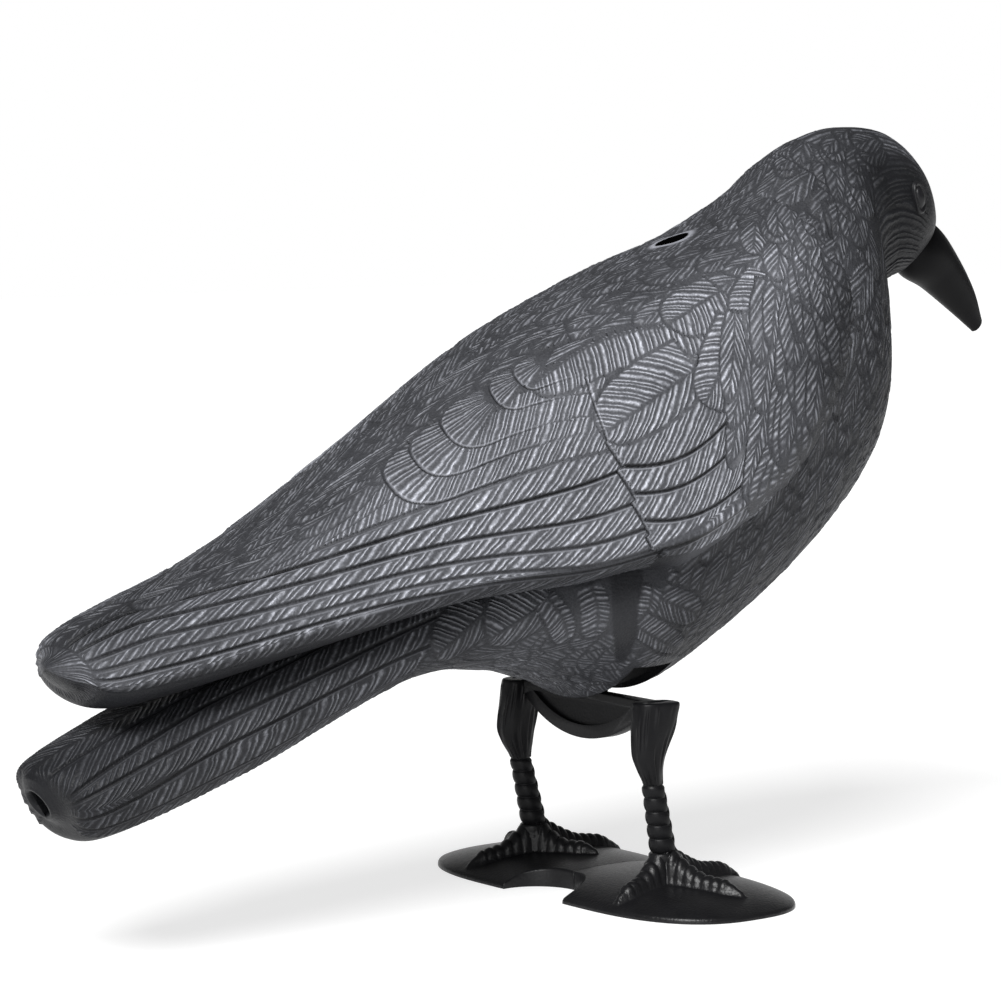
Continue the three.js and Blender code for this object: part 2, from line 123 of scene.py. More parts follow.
def gridNormals(points):  # cross product of the grid's two slopes, kept in the middle plane at its borders
    along, around = np.gradient(points, axis=0), np.gradient(points, axis=1)
    normals = unit(np.cross(around, along))
    normals[:, [0, -1], 1] = 0
    return unit(normals)


def link(name, data):  # a new object in the scene with this data
    thing = bpy.data.objects.new(name, data)
    bpy.context.scene.collection.objects.link(thing)
    return thing


def makeObject(name, points, faces, attributes=(), sharpPoints=None):
    # A smooth mesh of points in millimetres. An edge whose two ends are sharp points stays sharp
    mesh = bpy.data.meshes.new(name)
    mesh.from_pydata((points * mm).tolist(), [], faces)
    mesh.update()
    for label, values in dict(attributes).items():
        layer = mesh.attributes.new(label, "FLOAT", "POINT")
        layer.data.foreach_set("value", np.asarray(values, np.float32))
    mesh.shade_smooth()
    if sharpPoints is not None:
        ends = np.empty(len(mesh.edges) * 2, int)
        mesh.edges.foreach_get("vertices", ends)
        sharp = sharpPoints[ends].reshape(-1, 2).all(1)
        mesh.attributes.new("sharp_edge", "BOOLEAN", "EDGE").data.foreach_set("value", sharp)
    return link(name, mesh)


def ringBody(name, rings, attributes=(), sharp=np.s_[:0]):
    # A closed body: each ring is joined to the next one, the first and the last are filled, and all
    # faces point out. sharp picks the sharp points among the rings' rows and columns.
    rows, columns = rings.shape[:2]
    marks = np.zeros((rows, columns), bool)
    marks[sharp] = True
    index = np.arange(rows * columns).reshape(rows, columns)
    turned = np.roll(index, -1, axis=1)
    faces = np.stack([index[:-1], turned[:-1], turned[1:], index[1:]], -1).reshape(-1, 4).tolist()
    faces += [index[0].tolist(), index[-1].tolist()]
    piece = makeObject(name, rings.reshape(-1, 3), faces, attributes, marks.ravel())
    shape = bmesh.new()
    shape.from_mesh(piece.data)
    bmesh.ops.recalc_face_normals(shape, faces=shape.faces)
    shape.to_mesh(piece.data)
    shape.free()
    return piece


rimReach = 1.8  # how far from an outline its distance is kept, in millimetres


# Carved feathers. A relief holds, for every point of a surface: its lift in millimetres; how many
# barbs it lies along its feather and how deep they are; the distance inside the nearest outline and
# how strong that outline is; its place among feathers that lie side by side, their width and how
# deep the groove between them is; and how pale it is painted, in part from wear and in part as
# painted light and shade.
class Relief:
    kept = ("turns", "barb", "rim", "rimNear", "lane", "laneWidth", "laneGroove", "wear")

    def __init__(self, table, t, angle):
        self.table, self.grid = table, loftPoint(table, t, angle)
        self.points, self.normals = self.grid.reshape(-1, 3), gridNormals(self.grid).reshape(-1, 3)
        self.t, self.turn = t.ravel(), np.degrees(angle).ravel()
        self.width, self.along = lengths(self.grid, angle)
        for label in ("lift", *self.kept):
            setattr(self, label, np.zeros(t.size))

    def lay(self, spot, cover, lift, turns, barb):
        # Mixes new values in at the chosen points, by how far each one is covered
        self.lift[spot] += (lift - self.lift[spot]) * cover
        self.barb[spot] += (barb - self.barb[spot]) * cover
        self.turns[spot] = np.where(cover > 0.5, turns, self.turns[spot])
        self.laneGroove[spot] *= 1 - cover

    def outline(self, spot, inside, strength):
        # Notes an outline's distance, for the material to draw it finer than the mesh
        near = (inside > -rimReach) & (strength > 0)
        spot, inside, strength = spot[near], inside[near], strength[near]
        self.rim[spot] = np.clip(inside, -rimReach, rimReach)
        self.rimNear[spot] = strength * smooth(rimReach, 0.7 * rimReach, np.abs(inside))

    def calmSeams(self):
        # No barbs where neighbouring points belong to different feathers, so that the seams stay clean
        turns = self.turns.reshape(self.grid.shape[:2])
        seam = np.zeros(turns.shape, bool)
        for view, marks in ((turns, seam), (turns.T, seam.T)):
            apart = np.abs(np.diff(view, axis=0)) > 1
            marks[1:] |= apart
            marks[:-1] |= apart
        self.barb[seam.ravel()] = 0

def lengths(points, angle):
    # For every point of a grid: the length of a degree round, and the distance towards the rear end
    width = np.linalg.norm(np.gradient(points, axis=1), axis=2) / np.gradient(np.degrees(angle), axis=1)
    steps = np.linalg.norm(np.diff(points, axis=0), axis=2)
    reach = np.vstack([np.zeros(points.shape[1]), np.cumsum(steps, axis=0)])
    return width.ravel(), (reach[-1].mean() - reach).ravel()


def chance(number, seed):  # a repeatable fraction for each whole number: the tail of a large sine
    return np.abs(np.sin(number * 12.9898 + seed * 78.233) * 43758.5453) % 1


def crest(turns):  # a barb's height across it, 0 in the cut and 1 on the ridge
    return 0.5 - 0.5 * np.cos(2 * np.pi * turns)


def layFeather(relief, rootPlace, tipPlace, look, seed):
    # One feather in its own plane: u runs from root to tip, v across. Its outline is straight sided
    # to the shoulder and an ellipse beyond it. Each vane has its own width and its own lean, the
    # barbs' slope towards the tip, which grows along the feather. Fanned barbs spread towards the tip
    # and the upper edge instead, from a point in the upper vane: they are counted by their direction.
    root, tip = (loftPoint(relief.table, t, np.radians(turn)) for t, turn in (rootPlace, tipPlace))
    length = np.linalg.norm(tip - root)
    along = (tip - root) / length
    gaps = np.sum((relief.points - (root + tip) / 2) ** 2, axis=1)
    across = unit(np.cross(relief.normals[np.argmin(gaps)], along))
    spot = np.flatnonzero(gaps < (0.6 * length + max(look["width"])) ** 2)
    offset = relief.points[spot] - root
    u = offset @ along / length
    v = offset @ across - look["bend"] * length * np.sin(np.pi * np.clip(u, 0, 1))
    shoulder, power, wide = look["shoulder"], look["power"], look["width"][0]
    half, lean = (np.where(v > 0, *look[label][::-1]) for label in ("width", "lean"))
    narrow = look["rootWidth"] + (1 - look["rootWidth"]) * smooth(0, shoulder, u)
    far = np.clip((u - shoulder) / (1 - shoulder), 0, None)
    radius = (far**power + np.abs(v / (half * narrow)) ** power) ** (1 / power)
    inside = np.where(u < 0, -9.0, (1 - radius) * half)
    slant = lean * (1 + look["grow"] * (u - 0.5)) * np.abs(v) ** look["curl"] * half ** (1 - look["curl"])
    turns = (u * length - slant) / (look["spacing"] * np.hypot(1, lean)) + seed
    ahead, aside = (u - shoulder + 0.2) * length, -v - 0.5 * wide
    fanned = look["fan"] * (aside > -0.8 * ahead)
    turns = np.where(fanned, np.arctan2(aside, ahead) * 1.3 * wide / look["spacing"] + seed, turns)
    number = np.floor(turns) + 0.5 * (v > 0)
    ragged = inside - look["ragged"] * chance(number, seed)
    cover = smooth(-look["margin"], 0, inside)
    edge = smooth(0, look["edge"], inside)
    shaft = np.exp(-((v / look["shaftWidth"]) ** 2)) * smooth(1, 0.75, u) * look["shaft"]
    barb = look["barb"] * smooth(-0.2, 0.4, ragged) * (1 - np.clip(2.2 * shaft, 0, 1))
    barb = barb * (1 - fanned * smooth(0.7, 0.3, np.hypot(ahead, aside) / wide))
    barb = barb * (1 - look["vary"] * chance(number, seed + 3))
    lift = edge * (look["step"] * (0.1 + 0.9 * np.clip(u, 0, 1)) + look["crown"] * (1 - (v / half) ** 2))
    lift = lift + shaft * look["shaftHeight"] - look["sink"] * (1 - edge)
    lift = lift + look["ridge"] * barb * crest(turns)
    relief.lay(spot, cover, lift, turns, barb)
    fading = look["fan"] * smooth(0.15, 0.8, -v / half)
    relief.outline(spot, inside, look["outline"] * smooth(0.3, 0.8, u) * (1 - fading))


def layLanes(relief, edges, grooves, where, fade, look):
    # Long feathers side by side between edges, each highest at its lower edge. Their barbs lean with
    # the distance below the upper edge and stop a ragged way short of it.
    for number, (upper, lower) in enumerate(zip(edges[:-1], edges[1:])):
        spot = np.flatnonzero((relief.turn >= upper) & (relief.turn < lower) & where)
        below = ((relief.turn - upper) * relief.width)[spot]
        above = ((lower - relief.turn) * relief.width)[spot]
        share = below / np.maximum(below + above, 1e-6)
        depth = np.where(share < 0.5, grooves[number], grooves[number + 1]) * fade[spot]
        edge = smooth(0, look["edge"], above)
        slant = look["lean"] * below ** look["curl"] * 6 ** (1 - look["curl"])
        turns = (relief.along[spot] - slant) / (look["spacing"] * np.hypot(1, look["lean"])) + number * 0.37
        rank = np.floor(turns)
        reach = look["margin"] + look["ragged"] * chance(rank, number)
        barb = look["barb"] * smooth(0, 0.6, below - reach) * smooth(0.1, 0.7, above)
        barb = barb * (1 - look["vary"] * chance(rank, number + 3.0))
        lift = look["step"] * share**1.5 * edge * fade[spot] + look["ridge"] * barb * crest(turns) * edge
        lift = lift - look["sink"] * (1 - smooth(0.2, 1.3, below)) * depth
        relief.lay(spot, np.ones(len(spot)), lift, turns, barb)
        relief.lane[spot], relief.laneWidth[spot] = number + share, below + above
        relief.laneGroove[spot] = depth
        relief.rimNear[spot] = 0


def layStrokes(relief, weight, look, seed=0.0):
    # Long fine strokes along the body: their place across is the angle times the middling length of a
    # degree, slanted by the way along. Each is broken into runs, and every run has its own height.
    spot = np.flatnonzero(weight > 0.01)
    along = relief.along[spot]
    degree = np.median(relief.width[spot])
    turns = (relief.turn[spot] * degree + look["slant"] * along) / look["spacing"] + seed
    line = np.floor(turns)
    run = np.floor(along / look["run"] + 5 * chance(line, seed))
    barb = look["barb"] * (1 - look["vary"] * chance(line * 7 + run, seed + 1))
    relief.lay(spot, weight[spot], look["ridge"] * barb * crest(turns), turns, barb)


def layField(relief, rows, look, seed):
    # Rows of small feathers. Each row is the first and last t, the angles between which it runs, its
    # spacing along and round, the reach of each feather in t and in angle, and its half width.
    rng, places = np.random.default_rng(seed), []
    for tLow, tHigh, low, high, tStep, turnStep, tReach, turnReach, halfWidth in rows:
        for rank, t in enumerate(np.arange(tLow, tHigh, tStep)):
            for turn in np.arange(low + (rank % 2) * turnStep / 2, high, turnStep):
                jitter = rng.uniform(-1, 1, 5)
                tipT, tipTurn = t + jitter[0] * tStep * 0.5, turn + jitter[1] * turnStep * 0.45
                rootT = tipT + tReach * (1 + 0.2 * jitter[2])
                rootTurn = tipTurn + turnReach + jitter[3] * turnStep * 0.3
                places.append(((tipT, tipTurn), (rootT, rootTurn), halfWidth * (1 + 0.2 * jitter[4])))
    for tip, root, halfWidth in sorted(places):
        lean = [side * rng.uniform(0.75, 1.3) for side in look["lean"]]
        own = {"width": (halfWidth, halfWidth), "lean": lean, "barb": look["barb"] * rng.uniform(0.6, 1)}
        layFeather(relief, root, tip, {**look, **own}, rng.uniform(0, 9))


def layList(relief, feathers, look):
    # Chosen feathers: root t and angle, tip t and angle, vane widths, vane leans, growth of the lean, bend
    for number, row in enumerate(feathers):
        own = {"width": row[4:6], "lean": row[6:8], "grow": row[8], "bend": row[9]}
        layFeather(relief, row[:2], row[2:4], {**look, **own}, 1.31 * number)


# What all feathers share, then each kind of feather's own values
featherLook = {
    "edge": 0.7, "margin": 0.4, "sink": 0.1, "crown": 0.15, "shoulder": 0.45, "bend": 0, "grow": 0,
    "shaft": 1.0, "shaftWidth": 0.5, "shaftHeight": 0.3, "curl": 1.1, "barb": 1.0, "vary": 0.45, "ridge": 0.3,
    "fan": 0,
}
laneLook = {
    **featherLook, "lean": 1.45, "step": 0.6, "spacing": 1.8, "margin": 0.7, "ragged": 1.3, "sink": 0.25,
    "vary": 0.5,
}
tailLook = {**laneLook, "lean": 1.2, "spacing": 1.75, "ragged": 1.2}
tertialLook = {
    **featherLook, "shoulder": 0.78, "power": 2.6, "rootWidth": 1.0, "shaft": 0.3, "step": 0.3, "ragged": 0.5,
    "spacing": 1.35, "curl": 1.0, "outline": 0.8, "fan": 1,
}
leafLook = {
    **featherLook, "step": 0.3, "spacing": 1.65, "shaftHeight": 0.35, "rootWidth": 0.9, "power": 2.5,
    "ragged": 0.4, "vary": 0.3, "outline": 0, "sink": 0, "ridge": 0.4,
}
tuftLook = {
    **featherLook, "step": 0.24, "sink": 0, "outline": 0, "edge": 1.2, "rootWidth": 0.6, "power": 2.0,
    "shoulder": 0.4, "lean": (2.0, 2.0), "curl": 1.0, "spacing": 1.55, "shaft": 0.6, "shaftWidth": 0.4,
    "ragged": 0.5, "vary": 0.55, "ridge": 0.35,
}
backLook = {**tuftLook, "lean": (3.0, 2.2), "spacing": 1.6, "step": 0.36}
breastLook = {**tuftLook, "lean": (2.4, 2.1)}
napeLook = {**tuftLook, "lean": (1.5, 1.8), "spacing": 1.8}
bellyLook = {**tuftLook, "lean": (3.2, 3.2), "barb": 0.7, "step": 0.12}
crownStrokes = {"slant": 0.12, "spacing": 2.3, "run": 13.0, "barb": 1.0, "vary": 0.5, "ridge": 0.42}
tipStrokes = {"slant": 0.35, "spacing": 1.5, "run": 4.0, "barb": 0.9, "vary": 0.8, "ridge": 0.3}
faceStrokes = {"slant": -0.12, "spacing": 1.7, "run": 6.0, "barb": 0.7, "vary": 0.8, "ridge": 0.2}
throatStrokes = {"slant": 0.1, "spacing": 2.1, "run": 16.0, "barb": 0.9, "vary": 0.5, "ridge": 0.45}

# Long wing feathers' edges: angle where the coverts end, how much nearer to the back near the wing
# tip, and the power that gathers them late. Then the depth of the groove along each.
flightEdges = [[61, 46, 2.0], [70, 50, 2.2], [79, 43, 2.2], [85.5, 31, 2.2], [90, 20, 2.2], [95, 12, 1.4],
               [125, 20, 1.0]]
flightGrooves = [0, 0.35, 1, 0.9, 0.7, 0.5, 0.9, 0]
coverEdgeStop, flightTipStop = 4.22, 1.4
tipBand = 0.42  # t below which strokes fan round the wing's tip
# The coverts' rear ends: t at 42 degrees, at 66 and at 90, where they are cut off in a step
coverEnds = [4.16, 4.17, 4.42]
coverSaw = 0.04  # how far in t each flight feather sets the step back
# Covert feathers' edges as angles at the step, half way along and at their roots, and their grooves
coverEdges = [[58, 60, 62], [69.3, 73.6, 69.8], [76, 80, 77.5], [82, 87.2, 87.5], [87, 96.5, 100],
              [96, 112, 114]]
coverGrooves = [0, 1, 1, 1, 0.9, 0.3]
coverFrontStop = 5.4
# Tail feathers' edges before the tail's end, and how much lower they run at it
tailEdges = [[-1, 0], [14, 10], [36, 24], [62, 13], [86, 11], [110, 6], [134, 2]]
tailGrooves = [0, 0.5, 0.9, 0.9, 0.9, 0.7, 0.4]
tailTipStop, tailEndStop = 1.95, 3.5

tertials = [
    [4.3, 54, 2.78, 32, 15, 12.5, -7, 1.1, 0, -0.02],
    [4.3, 50, 3.0, 29, 13.5, 11, -7, 0.9, 0, -0.03],
    [4.3, 45, 3.25, 26, 12, 11, -7, 0.8, 0, -0.03],
    [4.3, 40, 3.6, 26, 9.5, 8.5, -6, 0.7, 0, -0.02],
    [4.4, 36, 3.78, 26.5, 7.5, 7, -6, 0.7, 0, -0.02],
]
scapulars = [
    [5.2, 44, 3.82, 33, 1.5, 12, 0.3, 0.35, 0.9, -0.1],
    [5.04, 55, 4.13, 59, 13, 9, 1.0, 1.5, 0.7, 0.0],
    [5.55, 37, 4.96, 38.5, 9, 10, 1.2, 0.5, 0.5, 0.0],
    [5.55, 50, 5.03, 65, 8.5, 11.5, 0.7, 2.0, 0.9, 0.0],
    [6.1, 42, 5.55, 51, 8, 8.5, 0.6, 0.9, 0.9, 0.0],
    [5.9, 57, 5.55, 66, 6, 5, 0.6, 0.8, 0.5, 0.0],
    [6.5, 46, 6.05, 54, 7, 6.5, 0.9, 1.3, 0.6, 0.0],
    [6.35, 56, 5.95, 69, 6, 5, 1.3, 1.5, 0.3, 0.0],
    [6.75, 62, 6.2, 75, 5.5, 5.5, 1.7, 1.7, 0.0, 0.0],
]
backFeathers = [
    [3.2, 26, 1.75, 22, 8, 9, 1.6, 1.4, 0, 0.0],
    [3.0, 12, 1.3, 10, 8, 8, 1.8, 1.5, 0, 0.0],
    [3.6, 4, 2.2, 2, 8, 9, 1.8, 1.6, 0, 0.0],
    [4.4, 14, 3.2, 8, 8, 9, 2.4, 1.8, 0, 0.0],
]
backFields = [
    [1.6, 3.4, -6, 24, 0.3, 9, 0.7, 2, 5.5],
    [3.4, 7.4, -6, 34, 0.28, 9.5, 0.65, 4, 5.2],
    [4.2, 5.4, 34, 64, 0.3, 9.5, 0.5, 0, 5.5],
]
shoulderFields = [
    [5.3, 7.6, 64, 122, 0.24, 9, 0.36, -20, 5.0],
    [6.15, 7.6, 34, 70, 0.24, 9, 0.45, -12, 4.8],
]
bellyLeaves = [
    [3.5, 73, 3.1, 99, 8.5, 6, 0.6, 1.6, 0.3, 0.0],
    [4.0, 80, 3.47, 99, 11, 6.5, 0.65, 1.8, 0.3, 0.0],
    [3.95, 78, 4.25, 116, 6, 4, 0.3, 0.3, 0.5, 0.05],
    [4.42, 76, 4.55, 113, 6.5, 5, 0.25, 0.3, 0.5, 0.04],
    [5.3, 84, 5.2, 106, 5, 8, 0.1, 0.5, 0.5, 0.0],
    [5.1, 106, 6.05, 126, 4, 6, 0.7, 0.5, 0.4, 0.0],
    [5.45, 92, 6.1, 110, 6, 6, 1.1, 1.1, 0.2, 0.0],
]
bellyFields = [[2.9, 5.8, 112, 184, 0.24, 13, 0.5, 2, 6.5]]
breastFields = [
    [5.5, 7.4, 78, 184, 0.25, 9.5, 0.32, -18, 5.0],
    [7.4, 8.9, 60, 184, 0.26, 10, 0.5, -12, 4.8],
]
neckFields = [[6.9, 9.3, -6, 66, 0.34, 13, 0.75, 3, 5.8]]
napeFields = [[8.9, 10.6, 26, 70, 0.42, 15, 0.75, -8, 4.6]]
cheekLines = [[10.35, 56, 9.95, 80, 0.7, 0.7, 1, 1, 0, 0.06], [8.4, 39, 8.15, 47, 0.7, 0.7, 1, 1, 0, 0.05]]

wingSpan = {"rows": 520, "columns": 160, "underside": 14, "visibleTo": 122}
trunkSpan = {"rows": 550, "columns": 150, "hidden": 10}


def distanceTo(table, points):
    # Roughly how far points lie outside a loft: the section whose plane holds the point, then how
    # many times the outline's radius away it is there.
    stops = np.linspace(0, len(table) - 1, 80)
    rows = rowsAt(table, stops)
    px, py, pz = points[:, 0] - seatX, points[:, 1], points[:, 2] - seatHeight
    axisX, axisZ = rows[:, 0] - rows[:, 2], rows[:, 1] - rows[:, 3]
    side = axisX * (pz[:, None] - rows[:, 3]) - axisZ * (px[:, None] - rows[:, 2])
    k = np.clip(np.argmax(side > 0, axis=1), 1, None)
    ends = np.take_along_axis(side, np.stack([k - 1, k], 1), axis=1)
    share = np.clip(ends[:, 0] / (ends[:, 0] - ends[:, 1] - 1e-9), 0, 1)
    t = stops[k - 1] + (stops[k] - stops[k - 1]) * share
    row = rowsAt(table, t).T
    axis = np.stack([row[0] - row[2], row[1] - row[3]])
    share = ((px - row[2]) * axis[0] + (pz - row[3]) * axis[1]) / np.sum(axis**2, axis=0)
    tall = np.where(share > row[5], (share - row[5]) / (1 - row[5]), (row[5] - share) / row[5])
    power = np.where(share > row[5], row[6], row[7])
    radius = (np.abs(tall) ** power + np.abs(py / row[4]) ** power) ** (1 / power)
    centre = np.stack([row[2], row[3]]) + axis * row[5]
    away = np.sqrt((px - centre[0]) ** 2 + py**2 + (pz - centre[1]) ** 2)
    return away * (1 - 1 / np.maximum(radius, 0.05))


def filletLift(points, otherTable, reach):  # a quarter of the reach where the two surfaces cross
    gap = np.abs(distanceTo(otherTable, points))
    return reach / 4 * np.clip(1 - gap / reach, 0, 1) ** 2


# How far the fillet between wing and trunk reaches on the back and at the side; the channel across the
# belly, from the seat on the legs up and down, and how far its tool reaches sideways; the slot's oval
joinReach = {"top": 11.0, "side": 22.0}
bellyChannel = {"length": 18.4, "above": 11.8, "below": 16.0, "reach": 120.0}
backSlot = {"t": 5.8, "length": 14.0, "width": 8.0, "depth": 14.0, "lip": 0.4, "point": 1.4}


def slotFrame():  # the slot's middle on the back, the direction along it and the one out of it
    here = loftPoint(wingSections, backSlot["t"], 0.0)
    rail = unit(loftPoint(wingSections, backSlot["t"] + 0.1, 0.0) - here)
    return here, rail, np.array([-rail[2], 0, rail[0]])


def slotLip(relief):
    # A low lip round the slot: the distance from the slot's oval gives its height, and a pale ring along
    # the lip is a painted highlight
    here, rail, rise = slotFrame()
    offset = relief.points - here
    long, wide = backSlot["length"] / 2, backSlot["width"] / 2
    gap = (np.sqrt(np.abs(offset @ rail / long) ** 1.6 + np.abs(offset[:, 1] / wide) ** 1.6) - 1) * wide
    spot = np.flatnonzero((np.abs(offset @ rise) < 8) & (gap < 2.2))
    gap = gap[spot]
    relief.lift[spot] = backSlot["lip"] * smooth(2.2, 0.8, gap) + relief.lift[spot] * smooth(1.2, 2.2, gap)
    relief.barb[spot] *= smooth(1.2, 2.2, gap)
    # a pale ring along the lip: a painted highlight
    relief.wear[spot] += 4.0 * np.exp(-(((gap - 0.6) / 0.7) ** 2))
    relief.rimNear[spot] = 0


def halfShell(name, side, relief, caps):
    # A half of the bird: its lifted grid and the rows that close its ends. The flat wall in the middle
    # plane comes from joining each row's last point to its first. The right half's rows run the other
    # way, so that its faces split along the barbs and not across them.
    lifted = relief.grid + (relief.normals * relief.lift[:, None]).reshape(relief.grid.shape)
    lifted[:, [0, -1], 1] = 0
    start, end = caps(lifted)
    extra, shape = [(len(start), len(end)), (0, 0)], lifted.shape[:2]
    attributes = {label: np.pad(getattr(relief, label).reshape(shape), extra, mode="edge")[::-side].ravel()
                  for label in relief.kept}
    rings = (np.concatenate([start, lifted, end]) * [1, side, 1])[::-side]
    return ringBody(name, rings, attributes, np.s_[:, [0, -1]])


def domeRows(ring, depth, outward, count, start=0.0):
    # Rows that round a ring off towards its middle, along the part of a quarter circle past the start
    middle = ring.mean(0) * [1, 0, 1]
    turns = np.linspace(start, 0.48 * np.pi, count + 1)[1:]
    heights = (np.sin(turns) - np.sin(start)) / (1 - np.sin(start))
    return [middle + (ring - middle) * share + outward * depth * height
            for share, height in zip(np.cos(turns) / np.cos(start), heights)]


def evenStops(table, turn, count):  # t at equal lengths along the loft's line at this angle
    fine = np.linspace(0, len(table) - 1, 3000)
    return evenSteps(loftPoint(table, fine, np.radians(turn)), fine, count)


def wingGrid():
    # Even rows and columns where the wing is seen, and a few wide columns under it
    stops = evenStops(wingSections, 60, wingSpan["rows"])
    turns = np.radians(np.linspace(0, wingSpan["visibleTo"], 800))
    arc = evenSteps(loftPoint(wingSections, np.full(800, 4.0), turns), turns, wingSpan["columns"])
    under = np.linspace(arc[-1], np.pi, wingSpan["underside"] + 1)[1:]
    return np.meshgrid(stops, np.concatenate([arc, under]), indexing="ij")


def through(values, share):  # the parabola through three values at shares 0, 1/2 and 1
    first, middle, last = values
    share = np.clip(share, 0, 1.1)
    return first + (4 * middle - 3 * first - last) * share + 2 * (first - 2 * middle + last) * share**2


def wingRelief():
    # Flight feathers as lanes behind the coverts' step, back feathers and tertials over them, the
    # coverts as lanes before the step, then scapulars, shoulder feathers and the strokes at the tip
    relief = Relief(wingSections, *wingGrid())
    t, turn = relief.t, relief.turn
    rearward = np.clip((coverEdgeStop - t) / (coverEdgeStop - flightTipStop), 0, None)
    flight = [front - drop * np.minimum(rearward**power, 1.15) for front, drop, power in flightEdges]
    flight.insert(0, np.full(len(t), -1.0))
    ends = through(coverEnds, (turn - 42) / 48) + coverSaw * ((turn - 61) / 8.7 % 1 - 0.5) * (turn > 61)
    cover = [through(edge, (t - coverEdgeStop) / (coverFrontStop - coverEdgeStop)) for edge in coverEdges]
    layLanes(relief, flight, flightGrooves, t < ends, smooth(0.2, 0.9, t), laneLook)
    layList(relief, backFeathers, {**tertialLook, "shaft": 0.5, "outline": 0.2, "fan": 0})
    layField(relief, backFields, backLook, 11)
    layList(relief, tertials, tertialLook)
    covered = (t >= ends) & (t < 6.2)
    layLanes(relief, cover, coverGrooves, covered, np.ones(len(t)), {**laneLook, "lean": 1.0, "step": 0.8})
    raised = np.flatnonzero((t >= ends - 0.05) & (turn > 40) & (turn < 100))
    gap = ((t - ends) * 46)[raised]
    relief.lift[raised] += 0.9 * smooth(0, 0.8, gap)
    relief.outline(raised, gap, 0.8 * (gap < rimReach))
    layList(relief, scapulars, leafLook)
    layField(relief, shoulderFields, tuftLook, 12)
    layStrokes(relief, smooth(tipBand + 0.06, tipBand - 0.06, t), tipStrokes)
    underside = smooth(90, 95, turn) * smooth(5, 4.6, t)
    relief.barb *= (1 - 0.2 * underside) * smooth(-0.12, 0.12, t)
    relief.lift *= smooth(0, 0.4, t)
    # The pale share: lower near the back's middle and towards the tip, lower on the wing's lower front and
    # towards the front; on the underside, which faces down, a painted shade
    relief.wear = (0.52 + 0.52 * smooth(12, 46, turn)) * (0.6 + 0.4 * smooth(1.0, 2.8, t))
    relief.wear *= 1 - 0.7 * smooth(4.8, 6.6, t) * smooth(45, 90, turn) - 0.75 * underside
    relief.wear *= 1 - 0.35 * smooth(6.0, 7.4, t)
    return relief


def wingCaps(lifted):  # the round wing tip and the wing's front end, which lies inside the trunk
    start = domeRows(lifted[0], 3.8, np.array([-1, 0, 0.05]), 8, 0.32 * np.pi)[::-1]
    end = domeRows(lifted[-1], 1.0, np.array([1, 0, 0.0]), 2)
    return np.array(start), np.array(end)


def trunkGrid():
    # Even rows; in each, a few wide columns where the wing hides the trunk and even ones below it
    stops = evenStops(trunkSections, 80, trunkSpan["rows"])
    hiddenTo = np.maximum(np.radians(56) * band(stops, 2.3, 3.4, 6.6, 7.6), 0.06)[:, None]
    hidden = np.linspace(0, 1, trunkSpan["hidden"] + 1)[:-1]
    shown = np.linspace(0, 1, trunkSpan["columns"])
    angle = np.concatenate([hiddenTo * hidden, hiddenTo + (np.pi - hiddenTo) * shown], axis=1)
    return np.broadcast_to(stops[:, None], angle.shape).copy(), angle


